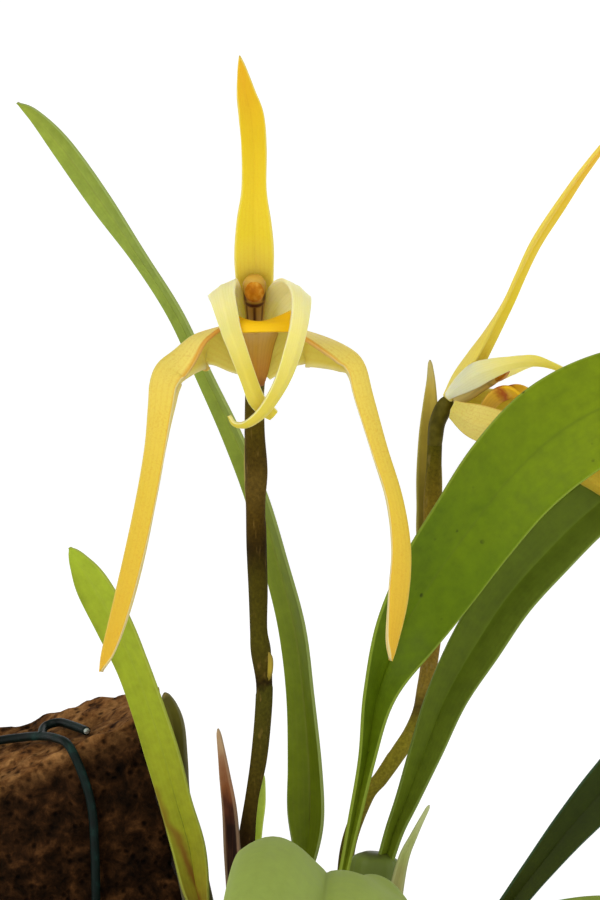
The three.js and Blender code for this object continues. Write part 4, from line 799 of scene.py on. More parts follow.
LEAF_ROWS = {
    "tall": [
        (5.2, 12.5, 118.4, 1.3, 50, 0), (6, 12.5, 123, 3, 42, 14), (6.6, 12.6, 130, 4.4, 34, 26),
        (6.5, 13, 139.6, 4.3, 26, 38), (5.5, 13.5, 152.2, 3.8, 22, 45), (3.9, 14, 164.7, 3.9, 20, 48),
        (0.8, 15, 176.8, 3.7, 20, 50), (-2.7, 16, 188.8, 3.4, 20, 50), (-7.4, 18, 200.3, 3, 20, 50),
        (-12.9, 20, 211.5, 2.4, 20, 48), (-18.4, 22, 222.8, 2.1, 20, 45), (-25.3, 25, 233.3, 2, 18, 42),
        (-32.6, 28, 243.7, 2.7, 15, 38), (-40.1, 30, 253.9, 2.4, 12, 32), (-45.6, 30.8, 260, 1.3, 8, 25),
        (-49.1, 31, 262.6, 0.3, 5, 20),
    ],
    "short": [
        (-13.4, 4.2, 112.4, 1.8, 50, 0), (-14.6, 4.8, 117, 3, 40, 0), (-15.9, 5.4, 125, 3.5, 30, 5),
        (-18.2, 6, 133.3, 3.4, 26, 12), (-20.4, 6.8, 141.6, 3.7, 22, 20), (-22.9, 7.5, 149.9, 3.7, 20, 26),
        (-25.8, 8.2, 158, 3.8, 18, 30), (-29.4, 9, 165.8, 4.2, 16, 30), (-33.7, 10, 173.2, 3.7, 12, 28),
        (-36.6, 10.6, 177.6, 1.9, 8, 24), (-38.2, 11, 179.9, 0.3, 5, 20),
    ],
    "broad": [
        (11.2, -3, 116, 1.3, 60, 0), (12.6, -1.2, 122, 1.4, 60, 0), (14.4, 0.5, 130.5, 1.8, 58, 0),
        (16.8, 2.5, 141.9, 2.4, 54, 0), (18.8, 4.5, 153.4, 4.2, 46, -6), (22.9, 6.5, 164.1, 7.2, 34, -12),
        (29, 8.5, 174.2, 8.6, 24, -12), (36.2, 10, 183.8, 8.9, 20, -4), (43.7, 11, 193.1, 9.6, 18, 4),
        (52.5, 12, 201.1, 10.3, 16, 8), (62.8, 12.5, 206.7, 9.8, 16, 10), (74.2, 13, 209.6, 8.4, 15, 10),
        (86, 13.5, 208.6, 6.2, 14, 10), (97.5, 14, 204.4, 3.4, 12, 8), (107, 14.5, 197.4, 0.3, 5, 0),
    ],
    "second": [
        (19.4, 9.7, 118.4, 2.5, 60, 0), (20.7, 10.4, 122.8, 2.6, 58, 0), (22.3, 11.4, 127.6, 2.6, 52, 0),
        (24.6, 12.5, 133, 2.9, 44, 0),
        (28.1, 14, 141.9, 3.7, 36, 0), (32.2, 15.5, 151.8, 4.3, 28, 4), (37.6, 17, 161.1, 5.2, 24, 8),
        (43.7, 18.5, 170, 5.4, 22, 12), (51, 20, 178.1, 5.6, 20, 14), (58.9, 21, 185.6, 5.4, 20, 16),
        (67.7, 22, 191.9, 4.9, 20, 16), (78, 23, 195.5, 4.2, 18, 14), (88.8, 23.5, 195.8, 2.7, 14, 10),
        (99, 23.5, 192.2, 0.3, 5, 0),
    ],
    "dark": [
        (34, 6, 105.3, 0.9, 45, 0), (36, 6, 106.6, 1.3, 45, 0), (41.3, 6, 111.5, 2.3, 40, 0),
        (48, 6, 120.1, 2.9, 28, 0), (54.7, 6, 128.6, 3.8, 24, 0), (62, 6.3, 136.6, 4.8, 22, 3),
        (70, 6.8, 143.8, 5.8, 20, 6), (79.5, 7.4, 148.7, 5.8, 18, 8), (90.1, 8.4, 150.6, 4.4, 14, 8),
        (100.1, 9.5, 150.1, 0.3, 5, 0),
    ],
    "front": [
        (9, -24, 114.9, 1.4, 60, 0, 0, 0), (9, -31, 120.4, 3, 45, 0, 0, 0), (9, -42, 127.4, 7.6, 14, 4, 0.08, 0.08),
        (8.9, -53, 131, 12.8, 0, 12, 0.15, 0.2), (8.6, -64, 131.2, 15.2, -2, 16, 0.18, 0.23),
        (7.4, -76, 127.2, 15.6, -2, 16, 0.18, 0.23), (5.2, -90, 118.8, 14.6, 2, 11, 0.14, 0.16),
        (3, -103, 108, 12, 6, 5, 0.08, 0.08), (0.8, -112, 97, 7.2, 10, 0, 0.02, 0), (-1, -118, 87, 0.4, 5, 0, 0, 0),
    ],
    "side": [
        (28.5, -13, 107.4, 1.3, 50, 40), (34, -13.5, 110.6, 2.6, 38, 60), (44, -14, 113, 5.2, 22, 72),
        (58, -15, 114.6, 7.2, 16, 74), (73, -16, 113, 7.4, 15, 74), (88, -17, 107, 5.6, 14, 74),
        (98, -17.5, 99.6, 3, 10, 74), (104, -18, 93.6, 0.4, 5, 74),
    ],
}
# Painted shade across a blade: each leaf skin's list of greys after its colours makes one side lighter and the other
# darker, from one edge (0) to the other (1); EVEN paints none.
EVEN = [(0, 1), (0.5, 1), (1, 1)]
# In each leaf skin the colour after the midrib's is a painted highlight along the rim, where the light catches the
# edge.
LEAF_SKINS = {
    "tall": leaf_skin(
        "leaf_tall_cuticle", [(0, "#5A680C"), (0.25, "#687812"), (0.5, "#76862A"), (0.75, "#84963C"), (1, "#8E9C36")],
        [(0, 1.06), (0.35, 1), (0.5, 1.12), (0.65, 0.98), (1, 0.88)], ("#7C7F3A", 0.35, 0.1), "#A4B46C", 9,
    ),
    "short": leaf_skin(
        "leaf_short_cuticle", [(0, "#6E5014"), (0.12, "#8A7A20"), (0.3, "#929620"), (0.6, "#94A224"), (1, "#98AC2C")],
        [(0, 0.84), (0.2, 0.98), (0.5, 1.04), (1, 1)],
        ("#9CA83C", 0.25, 0.1), "#AEB850", 9, streak=("#7A4A18", 0.95, 2.6, 0.2, 0.5),
    ),
    "broad": leaf_skin(
        "leaf_broad_cuticle",
        [(0, "#848A38"), (0.12, "#626E10"), (0.3, "#4E6204"), (0.5, "#5C7408"), (0.7, "#70840C"), (1, "#748410")],
        [(0, 0.94), (0.4, 1), (0.55, 1.06), (1, 1.02)], ("#5C6E14", 0.5, 0.03), "#93A63A", 15, dots=0.8,
    ),
    "second": leaf_skin(
        "leaf_second_cuticle",
        [(0, "#525C10"), (0.12, "#6A7A18"), (0.3, "#5A6A12"), (0.6, "#5C6C18"), (1, "#6E8028")],
        [(0, 1.04), (0.4, 0.92), (0.5, 1.16), (0.62, 0.98), (1, 0.92)], ("#6A7C20", 0.5, 0.05), "#7E9040", 11,
    ),
    "dark": leaf_skin(
        "leaf_dark_cuticle", [(0, "#4C5412"), (0.2, "#3C460C"), (0.5, "#2C360A"), (1, "#303C0C")],
        [(0, 1), (0.4, 1), (0.5, 0.8), (1, 1.1)], ("#2A3208", 0.5, 0.05), "#34503A", 11,
    ),
    "front": leaf_skin(
        "leaf_front_cuticle", [(0, "#8A9C44"), (0.3, "#8FA04A"), (0.6, "#92A44E"), (1, "#84964A")],
        [(0, 1.06), (0.45, 1.02), (0.5, 0.94), (0.55, 1), (1, 0.98)],
        ("#8A9A44", 0.4, 0.02), "#A8B868", 15, roughness=0.6, blotch=0.06,
    ),
    "side": leaf_skin(
        "leaf_side_cuticle", [(0, "#6E8030"), (0.3, "#7E9038"), (1, "#8C9C48")], EVEN,
        ("#8A9A44", 0.4, 0.04), "#A8B868", 11, roughness=0.6,
    ),
}
FOOT_SHARE = 0.35  # how far a leaf's foot goes into the bulb, as a share of its first stretch


def front_relief(way, v, half):
    """The front leaf's left shoulder, puffed out beside its groove."""
    shoulder = 0.14 * half * math.exp(-(((way - 1) / 0.34) ** 2)) * math.sin(math.pi * min(1, 1.3 * v)) ** 2
    return leaf_relief(way, v, half) + shoulder


def leaf_relief(way, v, half):
    """The midrib's groove, and a slow wave of the rim."""
    groove = -0.14 * math.exp(-((way * half / 0.7) ** 2)) * min(1, half / 2.5)
    wave = 0.02 * half * way * way * math.sin(19 * v + 3 * way)
    return groove + wave


for label, rows in LEAF_ROWS.items():
    foot = tuple(a - FOOT_SHARE * (b - a) for a, b in zip(rows[0], rows[1]))
    across, relief = ((-1, 0, 0), front_relief) if label == "front" else (None, leaf_relief)
    blade(f"leaf_{label}_blade", [foot, *rows], LEAF_THICK, [LEAF_SKINS[label]], f"leaf_{label}",
          across=across, relief=relief, cuts=120, halves=14)

# Flower stalks, sheaths and bracts ------------------------------------------

STALK_ROWS = {
    1: [
        (-4.6, 0, 97, 1.9), (-5.2, 0, 110, 2.4), (-5.8, 0, 120, 2.1), (-5.1, 0, 128.6, 1.5), (-4.25, 0, 135, 1.25),
        (-3, 0, 142, 1.5), (-2.2, 0, 150, 1.5), (-2, 0, 156, 1.5), (-2.6, 0, 162, 1.85), (-3, 0, 166, 1.6),
        (-3.1, 0, 173, 1.75), (-3.4, 0, 181, 1.8), (-3.5, 0, 189, 1.75), (-3.4, 0, 195, 2.05),
        (-3.7, 0, 202, 1.85), (-3.7, 0.5, 209, 1.75),
    ],
    2: [
        (12.8, 19.5, 97, 1.6), (12.9, 19.5, 110, 1.6), (13.6, 20, 121.9, 1.45), (17, 21, 131.3, 1.4),
        (19.9, 22, 134.9, 1.4), (23.2, 24, 139.4, 1.5), (25.7, 26, 142.9, 1.5), (27.5, 28, 146.6, 1.5),
        (28.5, 30, 150.6, 1.6), (29.5, 32, 156.1, 1.6), (30.3, 34, 163.6, 1.7), (30.2, 36.5, 175, 1.7),
        (30.2, 38, 186, 1.8), (30.4, 38, 193, 1.5), (30.6, 38, 198, 1.4),
    ],
}
STALK_SKINS = {
    1: stalk_skin(
        "flower_stalk_sheathed", [
        (97, "#3A2C06"), (118, "#44380A"), (127, "#2C1C05"), (134, "#43360A"), (148, "#46400E"), (155, "#43400E"),
        (156.4, "#241904"), (157.6, "#3F3409"), (163, "#48420C"), (174, "#423A08"), (181, "#2A1E04"), (186, "#463408"),
        (192, "#5A4718"), (197, "#44350A"), (209, "#524609"), ], "#8A6E34",
    ),
    2: stalk_skin(
        "flower_stalk_brown", [
        (97, "#4E4A10"), (112, "#4A4410"), (122, "#6C6218"), (134, "#7E7420"), (143, "#847A22"), (148, "#54461A"),
        (151, "#86702A"), (160, "#846826"), (175, "#846A20"), (186, "#78641A"), (194, "#5E5410"), (199, "#4A460A"),
        ], "#8E7A48",
    ),
}
# sheath edges on each stalk: how far up from 0 to 1, how much the edge slants, and which way it faces
SHEATHS = {1: [(0.45, 0.008, 0.0), (0.8, 0.05, 2.4)], 2: [(0.36, 0.02, 0.5), (0.62, 0.03, 3.0)]}


def sheathed(edges):
    """How a stalk swells towards the edge of each sheath and falls away past it."""

    def swell(angle, v):
        size = 1.0
        for place, slant, facing in edges:
            above = v - place - slant * math.cos(angle - facing)
            size += 0.07 * (max(0, min(1, 1 - above / 0.006)) * max(0, min(1, 1 + above / 0.12)))
        return size

    return swell


for number, rows in STALK_ROWS.items():
    bm = stem(rows, 32, 260, swell=sheathed(SHEATHS[number]))
    piece(f"flower_stalk_{number}_skin", bm, [STALK_SKINS[number]], f"flower_stalk_{number}")

SHEATH_TIP = [
    (-1.3, -1, 156.8, 0.3, 20), (-1, -1, 158.4, 0.5, 20), (-0.95, -1, 160.6, 0.5, 20),
    (-1.3, -1, 162, 0.2, 10),
]
TIP_HUSK = husk_skin(
    "sheath_tip_straw", [(0, "#6E5E1C"), (0.4, "#A8942E"), (1, "#8E7C34")], "#96803A", "#7C6C2C", 0.3,
)
blade("stalk_sheath_tip", SHEATH_TIP, EDGE_THICK, [TIP_HUSK], "flower_stalk_1", cuts=24, halves=4)

BROWN_HUSK = husk_skin(
    "dry_bract_brown", [(0, "#100804"), (0.5, "#220F05"), (0.62, "#4E2812"), (0.74, "#784824"), (0.87, "#8E6848"),
    (1, "#B8A078")], "#845434", "#A88C6C", 0.4,
)
STRAW_HUSK = husk_skin(
    "dry_bract_straw", [(0, "#8A7A4A"), (0.3, "#98925A"), (0.6, "#9AA45C"), (1, "#B4BC84")],
    "#B8B888", "#B4BC84", 0.4,
)
TAN_HUSK = husk_skin(
    "dry_bract_tan", [(0, "#84742A"), (0.35, "#8E7E2C"), (0.6, "#B09A38"), (0.8, "#C8B04C"), (1, "#C8BC80")],
    "#A08C48", "#A8A050", 0.5,
)
DARK_HUSK = husk_skin(
    "dry_sheath_dark", [(0, "#3A2A10"), (0.5, "#5A5420"), (0.8, "#706A28"), (0.93, "#6A6430"), (1, "#A08C58")],
    "#5A5430", "#7C7A5C", 0.6,
)
# its rim colour is a painted highlight along the edge
LIME_SHEATH = leaf_skin(
    "young_sheath_lime", [(0, "#B4CC40"), (0.6, "#C4DC4C"), (1, "#C4D85C")], EVEN,
    ("#C8DC58", 0.3, 0.1), "#CCE080", 5,
)
BRACTS = {
    "stalk_bract_brown": (BROWN_HUSK, "dry_bract", [
        (-6.8, -4.6, 99, 1.7, 35, 20), (-6.9, -4.6, 115, 1.8, 35, 20), (-7.5, -4.4, 126, 1.8, 35, 20),
        (-8.1, -4.1, 133.6, 1.5, 30, 20), (-9.2, -3.7, 140.4, 1, 22, 20), (-10.4, -3.2, 148.2, 0.3, 5, 20),
    ]),
    "stalk_bract_green": (LIME_SHEATH, "green_bract", [
        (-4.6, 3.8, 99, 1.4, 30), (-4.6, 3.7, 115, 1.7, 20), (-4.1, 3.3, 127, 1.6, 12),
        (-3.1, 2.9, 133.6, 1.3, 10), (-2.2, 2.6, 138.8, 0.3, 8),
    ]),
    "short_leaf_sheath": (DARK_HUSK, "dry_bract", [
        (-11.2, 11, 99, 3, 35), (-13.4, 11.4, 109, 3.2, 35), (-16.2, 11.6, 122, 3.2, 35),
        (-18.3, 11.8, 132.5, 2.9, 35), (-18.7, 12, 140, 2.7, 35), (-19, 12.2, 146.4, 2.2, 28),
        (-19.8, 12.3, 150, 1.5, 20), (-20.7, 12.4, 152.6, 0.5, 10),
    ]),
    "second_leaf_bract": (STRAW_HUSK, "pale_bract", [
        (20.2, 2.4, 99, 1.6, 35), (21.6, 2.4, 113, 1.5, 30), (23.4, 2.5, 122.5, 1, 25),
        (25.6, 2.8, 127.6, 0.6, 15), (28.4, 3.4, 133, 0.3, 5),
    ]),
    "flower_bract_1": (TAN_HUSK, "pale_bract", [
        (-3.6, 1.9, 187.2, 1.7, 35), (-3.6, 2.7, 190.4, 2, 30), (-3.7, 3.1, 197, 2.1, 30),
        (-3.7, 3.5, 206, 1.6, 30), (-3.8, 4.2, 214, 0.3, 10),
    ]),
    "flower_bract_2": (TAN_HUSK, "pale_bract", [
        (29.8, 38.8, 175.8, 2, 30), (29.5, 40.2, 179.4, 2.5, 24), (29.6, 40.9, 185, 2.5, 18),
        (29.6, 41.2, 191, 2.5, 14), (29.6, 41.2, 199, 2, 14), (29.8, 41.2, 205.6, 1.3, 14),
        (29.9, 41.2, 209.5, 0.8, 12), (29.7, 41.2, 213.4, 0.3, 10),
    ]),
}
for label, (skin, slot, rows) in BRACTS.items():
    blade(f"{label}_dry", rows, PETAL_THICK, [skin], label, cuts=60, halves=8)

# Blooms ---------------------------------------------------------------------

CAP_SIZE = (1.75, 1.2, 2.15)
COLUMN_FOOT = [(0, -1.4, 2, 1.3), (0, -2.6, -1.8, 1.3), (0, -4.2, -5.6, 0.8)]
# "place" and "facing" set a bloom on its stalk. Blades have rows as leaves have, the ovary and column rows of
# [x, y, z, radius]. "across_..." gives the sideways direction of the left and right blade, where one is set.
BLOOMS = {
    1: {
        "place": (-3.6, 0, 217),
        "facing": 0,
        "dorsal_sepal": [
            (0, 1.3, 3, 2, 12), (0, -1.2, 9, 3.1, 14), (0, -5.8, 14, 3.5, 18), (0, -10.9, 18.6, 3.6, 18),
            (0, -15, 23.6, 3.1, 15), (0.1, -18, 29, 2.2, 10), (0.1, -21.2, 36, 2.2, 8), (-0.3, -24, 41.6, 2.2, 8),
            (-1.2, -26.4, 45.6, 1.6, 8), (-2.2, -30, 51.5, 0.3, 0),
        ],
        "ovary": [
            (-0.1, 0.4, -9, 1.6), (-0.1, 0.5, -7.6, 1.75), (0, 1.5, -4, 1.9), (0, 1.5, -0.8, 2), (0, 0.7, 1.6, 1.8),
            (0, -0.3, 3.2, 1.1),
        ],
        "across_sepals": (None, None),
        "left_sepal": [
            (-1.2, -4.4, -2.3, 2.4, 6), (-3.3, -4.4, -0.9, 3.3, 8, 4), (-5.4, -4.7, 1.1, 4.7, 16, 14),
            (-7.8, -5.4, 2.9, 6.2, 30, 34), (-10.8, -7, 2.6, 6.5, 48, 56), (-14.2, -8, -0.1, 5.6, 57, 78),
            (-17, -9, -2.4, 5.8, 60, 84), (-18.2, -10, -5.4, 5.4, 60, 88), (-18.5, -11, -9.6, 4.8, 60, 90),
            (-19.1, -12.2, -17, 3.8, 60, 90), (-20.6, -13.6, -26, 3.5, 60, 90), (-22.8, -15, -36.4, 3.5, 60, 90),
            (-25, -16.4, -46, 3.2, 58, 90), (-26.6, -17.6, -53, 2.2, 50, 90), (-27, -18, -56.4, 0.4, 20, 90),
        ],
        "right_sepal": [
            (0.9, -4.4, -3.4, 2.6, 6), (3.1, -4.4, -1.2, 3.4, 8, -4), (5.3, -4.7, 1.1, 4.8, 16, -16),
            (7.8, -5.4, 2.9, 6.1, 30, -36), (11, -7, 2.8, 6, 46, -54), (16.4, -8, 0.5, 4.8, 50, -76),
            (19.2, -9.2, -2.2, 3.5, 58, -86), (20.8, -10.4, -8, 3.2, 60, -90), (23.2, -12, -16.8, 2.9, 60, -90),
            (26, -13.4, -26, 2.8, 60, -90), (27.4, -14.6, -35, 3.3, 60, -90), (26.9, -15.6, -43.6, 3.6, 58, -90),
            (25.2, -16.4, -51, 2.2, 50, -90), (24.1, -17, -54.5, 0.4, 20, -90),
        ],
        "across_petals": ((0.87, 0, 0.5), (0.95, 0, -0.32)),
        "left_petal": [
            (-1.9, -1, 3.4, 1.7, 8, -40), (-3.6, -4.2, 7.2, 3, 10, -28), (-5.2, -8.2, 10.2, 3.1, 8, -14),
            (-5.7, -11.8, 11.6, 3, 4, -4), (-5.6, -14.6, 10.2, 2.4, 6), (-4.9, -16.7, 7.2, 2.1, 12),
            (-4.1, -17.6, 4.2, 1.85, 15), (-3, -17.8, 1.2, 1.7, 15), (-1.9, -17.5, -2, 1.55, 15),
            (-0.7, -16.7, -5.3, 1.5, 15), (0.5, -15.8, -8.3, 1.55, 10), (2.2, -15.1, -10.1, 1.45, 8),
            (3.5, -14.7, -11.1, 1.1, 5),
        ],
        "right_petal": [
            (1.9, -1, 3.4, 1.7, 8, 40), (3.7, -4.2, 7.4, 3, 10, 28), (5.9, -8.4, 10.4, 3.3, 8, 14),
            (7.6, -12.4, 11.5, 2.9, 4, 4), (8.4, -15.6, 10.1, 2.2, 6), (8.4, -17.7, 7, 1.95, 12),
            (7.9, -18.6, 3.6, 1.85, 15), (6.9, -18.8, 0, 1.8, 15), (5.5, -18.6, -3.9, 1.6, 15),
            (3.7, -18, -7.4, 1.35, 12), (1.4, -17.2, -10.6, 1.1, 10), (-1.4, -16.2, -12.6, 0.8, 10),
            (-3.4, -15.3, -12.5, 0.6, 8), (-4.3, -14.8, -11, 0.35, 5),
        ],
        "lip": [
            (0, -4.9, -6.4, 1.6, -20), (0.1, -7.2, -3, 3.2, -38), (0.2, -9.2, 0.4, 4.5, -42),
            (0.3, -10.9, 3, 5.8, -38), (0.3, -12.6, 4.8, 6.9, -26), (0.5, -14.6, 5.3, 6.1, -6),
            (0.6, -15.9, 4.9, 6.2, 0), (0.7, -16.4, 3.8, 6, 4),
        ],
        "column": [
            (0, -0.9, 1.5, 1.6), (0, -2.6, 4.4, 1.6), (0, -4.6, 7.2, 1.75), (0, -6.6, 9.8, 2), (0, -8.2, 12, 2.1),
            (0, -8.9, 13.1, 1.5), (0, -9.1, 13.5, 0.5),
        ],
        "cap": (0, -9.3, 10.7),
        "cap_lean": 0.5,
    },
    2: {
        "place": (33.5, 38, 205),
        "facing": 62,
        "dorsal_sepal": [
            (0, 1.1, 1.5, 2.4, 58), (0, -1, 5.6, 3.7, 52), (0, -4.1, 9.7, 3.7, 44), (0, -7.6, 14, 3, 34),
            (0, -11.3, 19.3, 2.2, 22), (0, -14.2, 24.8, 2.2, 12), (0, -17.5, 30.8, 2.4, 8), (0, -21.7, 37, 2.4, 8),
            (0, -25.8, 42.6, 2.1, 8), (0, -29.8, 47.4, 1.5, 8), (0, -34.6, 52.8, 0.3, 0),
        ],
        "ovary": [
            (-1.4, 2.6, -8, 1.4), (-1.4, 2.5, -6.6, 1.5), (-0.9, 2.3, -3.6, 1.6), (-0.2, 1.3, -0.8, 1.7),
            (0.1, 0.4, 0.8, 1.2), (0.2, 0, 1.4, 0.5),
        ],
        "across_sepals": ((0, 0, 1), (0, 0, -1)),
        "left_sepal": [
            (-2.9, -1.8, -0.8, 1.8, 8), (-4, -6.6, -2.9, 3.4, 12), (-5.3, -13.1, -4.5, 3.8, 20),
            (-5.9, -19.8, -6.8, 3.8, 30), (-6.4, -26.5, -9.8, 3.4, 36), (-6.6, -33, -13.2, 2.9, 38),
            (-5.8, -39.3, -17.6, 2.2, 34), (-3.4, -44.8, -23, 0.4, 15),
        ],
        "right_sepal": [
            (2.9, -1.6, 0.2, 2.9, 8), (4.1, -6.6, -1.6, 4.7, 8), (6, -13.1, -3.6, 4.6, 16), (8, -19.8, -6.4, 4, 28),
            (10, -26.5, -9.8, 3.4, 36), (12, -33, -13.2, 2.9, 38), (13.6, -39.3, -17.6, 2.2, 34),
            (14.8, -44.8, -23, 0.4, 15),
        ],
        "across_petals": ((0, 0, 1), (0, 0, -1)),
        "left_petal": [
            (-1.7, -0.2, 1.6, 0.7, 6), (-2.5, -3.6, 4, 1.9, 8), (-3.2, -6.8, 5.9, 2.4, 8),
            (-4.3, -10.9, 7.3, 1.9, 10), (-4.6, -15.5, 8.5, 1.2, 8), (-4.6, -19.9, 8.9, 1.05, 8),
            (-4.2, -24.5, 7.6, 0.5, 6), (-3.4, -29, 5.2, 0.4, 5), (-2.6, -32, 2.6, 0.3, 5),
        ],
        "right_petal": [
            (2, -2.6, 3.2, 1, 6), (2.9, -6.2, 5.3, 1.9, 8), (4.5, -10.8, 7.4, 1.8, 10), (5, -15.3, 8.4, 1, 8),
            (5.1, -19.6, 7.5, 0.55, 8), (4.9, -24, 5.6, 0.45, 6), (4.4, -28.2, 3.2, 0.4, 5),
            (3.8, -30.8, 1.2, 0.3, 5),
        ],
        "lip": [
            (0, -4.9, -6.4, 0.9, -20), (0, -7, -3.4, 1.9, -40), (0, -9, -0.6, 2.6, -44), (0, -11, 1, 3.2, -44),
            (0, -13.4, 1.8, 3.5, -36), (0, -15.8, 1.6, 3.2, -16), (0, -17.4, 0.8, 2.6, 0), (0, -18.4, -0.4, 1.6, 4),
        ],
        "column": [
            (0, -1.3, 1.1, 1.4), (0, -3.6, 2.3, 1.6), (0, -6, 4, 1.75), (0, -8.2, 5.6, 2), (0, -9.6, 6.9, 2),
            (0, -10.3, 7.6, 1.4), (0, -10.6, 7.9, 0.5),
        ],
        "cap": (0, -10.8, 6.2),
        "cap_lean": 0.8,
    },
}
DORSAL_SKIN = petal_skin(
    "sepal_dorsal_waxy", [(0, "#EEDC70"), (0.2, "#E8D25C"), (0.4, "#E2C830"), (0.7, "#DAB81C"), (1, "#DEA81C")],
    "#EAD468", "#D4A41C", speckles=0.25,
)
SEPAL_SKINS = {
    side: [
        petal_skin(
            f"sepal_{side}_inner",
            [(0, "#D8CC64"), (0.15, "#D8CC60"), (0.3, "#DCCC5C"), (0.5, "#DCC450"), (1, "#DCA830")],
            "#EEE2AC", "#CCA440", rim_width=0.1, speckles=0.3, front=front,
        ),
        petal_skin(
            f"sepal_{side}_outer",
            [(0, "#DCCC68"), (0.15, "#ECD878"), (0.4, "#E8D064"), (0.7, "#DEBE40"), (1, "#D8A828")],
            "#DEA63C", "#D09A2C", speckles=0.5, front=front,
        ),
    ]
    for side, front in (("left", 1), ("right", 0), ("plain", None))
}
PETAL_SKIN = petal_skin(
    "petal_cream_waxy", [(0, "#FAF0C4"), (0.25, "#F6EEB4"), (0.45, "#EADC88"), (0.7, "#D4C454"), (1, "#C8B640")],
    "#F2E8AC", "#D8C458", speckles=0.1, glow=0.75,
)
LIP_SKINS = {
    1: lip_skin(
        "lip_yellow_tan", [(0, "#8A5210"), (0.12, "#B87E20"), (0.3, "#C29636"), (0.46, "#CCA85C"),
        (0.54, "#B47A30"), (0.58, "#F2C010"), (1, "#F4C412")],
    ),
    2: lip_skin(
        "lip_yellow_clear", [(0, "#C08A28"), (0.25, "#D8B048"), (0.42, "#E8B838"), (0.5, "#B85A18"),
        (0.56, "#F0BC18"), (1, "#F8C814")],
    ),
}
ANTHER_SKIN = plain_flesh("anther_cap_orange", [(0.3, "#B06C10"), (0.5, "#C8841C"), (0.7, "#D8A440")], 0.4, 0.1, 900)
OVARY_SKIN = plain_flesh("ovary_green", [(0.3, "#46400C"), (0.5, "#544C10"), (0.7, "#665E1C")], 0.5, 0.05, 500)
COLUMN_SKINS = {
    1: column_skin(
        "column_striped", [(0, "#D8C878"), (0.2, "#CCA85C"), (0.4, "#B8903A"), (0.55, "#BC9434"),
        (1, "#D0A848")], 1.0,
    ),
    2: column_skin("column_pale", [(0, "#E8D488"), (0.5, "#E2C468"), (1, "#DEBC54")], 0.3),
}


def petal_relief(way, v, half):
    """A faint keel and a slow wave of the rim."""
    return -0.12 * math.exp(-((way * half / 0.4) ** 2)) + 0.03 * half * way * way * math.sin(23 * v + 4 * way)


def anther_cap(place, lean):
    """The cap over the pollen: an egg with a shallow cleft down its face."""
    bm = bmesh.new()
    bmesh.ops.create_uvsphere(bm, u_segments=32, v_segments=20, radius=1)
    for vert in bm.verts:
        x, y, z = vert.co
        cleft = 1 - 0.16 * math.exp(-((x / 0.22) ** 2)) * max(0, -y)
        wide, deep, tall = CAP_SIZE
        vert.co = Vector((wide * x, deep * y * cleft, tall * z * (0.94 + 0.06 * abs(x)))) * MM
    return moved(bm, Matrix.Translation(Vector(place) * MM) @ Matrix.Rotation(lean, 4, "X"))


for number, shape in BLOOMS.items():
    turn_by = Matrix.Translation(Vector(shape["place"]) * MM) @ Matrix.Rotation(math.radians(shape["facing"]), 4, "Z")
    label = f"bloom_{number}"
    column = stem(shape["column"], 32, 40)
    added(column, stem(COLUMN_FOOT, 24, 24, 0.7))
    for part, finish, bm, skin, slot in (
        ("ovary", "skin", stem(shape["ovary"], 24, 24), OVARY_SKIN, "ovary"),
        ("column", "flesh", column, COLUMN_SKINS[number], "column"),
        ("anther_cap", "skin", anther_cap(shape["cap"], shape["cap_lean"]), ANTHER_SKIN, "anther"),
    ):
        piece(f"{label}_{part}_{finish}", moved(bm, turn_by), [skin], f"{label}_{part}")
    sepal_sides = ("left", "right") if number == 1 else ("plain", "plain")
    for part, skins, across in (
        ("dorsal_sepal", [DORSAL_SKIN], None),
        ("lip", [LIP_SKINS[number]], (1, 0, 0)),
        ("left_sepal", SEPAL_SKINS[sepal_sides[0]], shape["across_sepals"][0]),
        ("right_sepal", SEPAL_SKINS[sepal_sides[1]], shape["across_sepals"][1]),
        ("left_petal", [PETAL_SKIN], shape["across_petals"][0]),
        ("right_petal", [PETAL_SKIN], shape["across_petals"][1]),
    ):
        slot = part.split("_")[-1]
        relief, cuts = (None, 60) if slot == "lip" else (petal_relief, 96)
        blade(f"{label}_{part}_blade", shape[part], PETAL_THICK, skins, f"{label}_{part}",
              across=across, relief=relief, cuts=cuts, turn_by=turn_by)

# Studio ---------------------------------------------------------------------

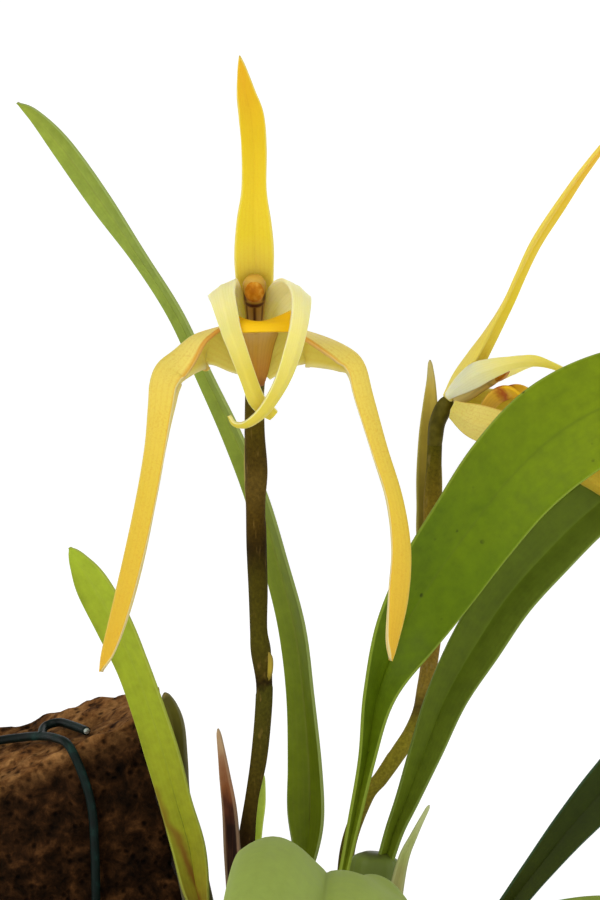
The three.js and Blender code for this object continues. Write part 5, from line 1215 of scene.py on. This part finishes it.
PAPER_PROFILE = [(0, -0.3), (1500, -0.3), (3000, -0.3), (3600, 60), (4000, 300), (4200, 800), (4300, 1800)]
PAPER_GLOW = 0.73
AIR_LIGHT = 0.35


def backdrop():
    """A wide white floor that curves up into a wall all round."""
    bm = turned(PAPER_PROFILE, 96)
    bmesh.ops.reverse_faces(bm, faces=[face for face in bm.faces if face.normal.z < 0])
    floor = shown("studio_floor", bm)
    floor.data.materials.append(studio_white("studio_paper", PAPER_GLOW))


backdrop()


def lamp(name, place, aim, size, power, colour="#FFFFFF"):
    """A round soft lamp; its place and size are in metres."""
    light = bpy.data.lights.new(name, "AREA")
    light.shape = "DISK"
    light.size = size
    light.energy = power
    light.color = linear(colour)[:3]
    made = bpy.data.objects.new(name, light)
    made.location = place
    made.rotation_mode = "QUATERNION"
    made.rotation_quaternion = (Vector(aim) - Vector(place)).to_track_quat("-Z", "Y")
    bpy.context.collection.objects.link(made)


AIM = (0.01, 0, 0.19)
lamp("key_softbox", (-0.9, -1.3, 1.5), AIM, 1.1, 15, "#FFFBF2")
lamp("fill_softbox", (1.4, -1.2, 0.7), AIM, 1.2, 4)
lamp("back_softbox", (0.5, 1.6, 1.3), AIM, 1.2, 6)

world = bpy.data.worlds.new("studio_air")
world.use_nodes = True
world.node_tree.nodes["Background"].inputs[0].default_value = (1, 1, 1, 1)
world.node_tree.nodes["Background"].inputs[1].default_value = AIR_LIGHT
bpy.context.scene.world = world
bpy.context.scene.view_settings.view_transform = "Standard"

# The camera looks 4 degrees down from the height of the upper flower, from 620 mm away
CAMERA_PLACE = Vector((4.545, -618.49, 242.03)) * MM
CAMERA_TILT = math.radians(90 - 4)
lens = bpy.data.cameras.new("photo_camera")
lens.sensor_fit = "VERTICAL"
lens.sensor_height = 36
lens.lens = 136.4
lens.clip_start = 0.02
lens.clip_end = 30
camera = bpy.data.objects.new("photo_camera", lens)
camera.location = CAMERA_PLACE
camera.rotation_euler = (CAMERA_TILT, 0, 0)
bpy.context.collection.objects.link(camera)
bpy.context.scene.camera = camera
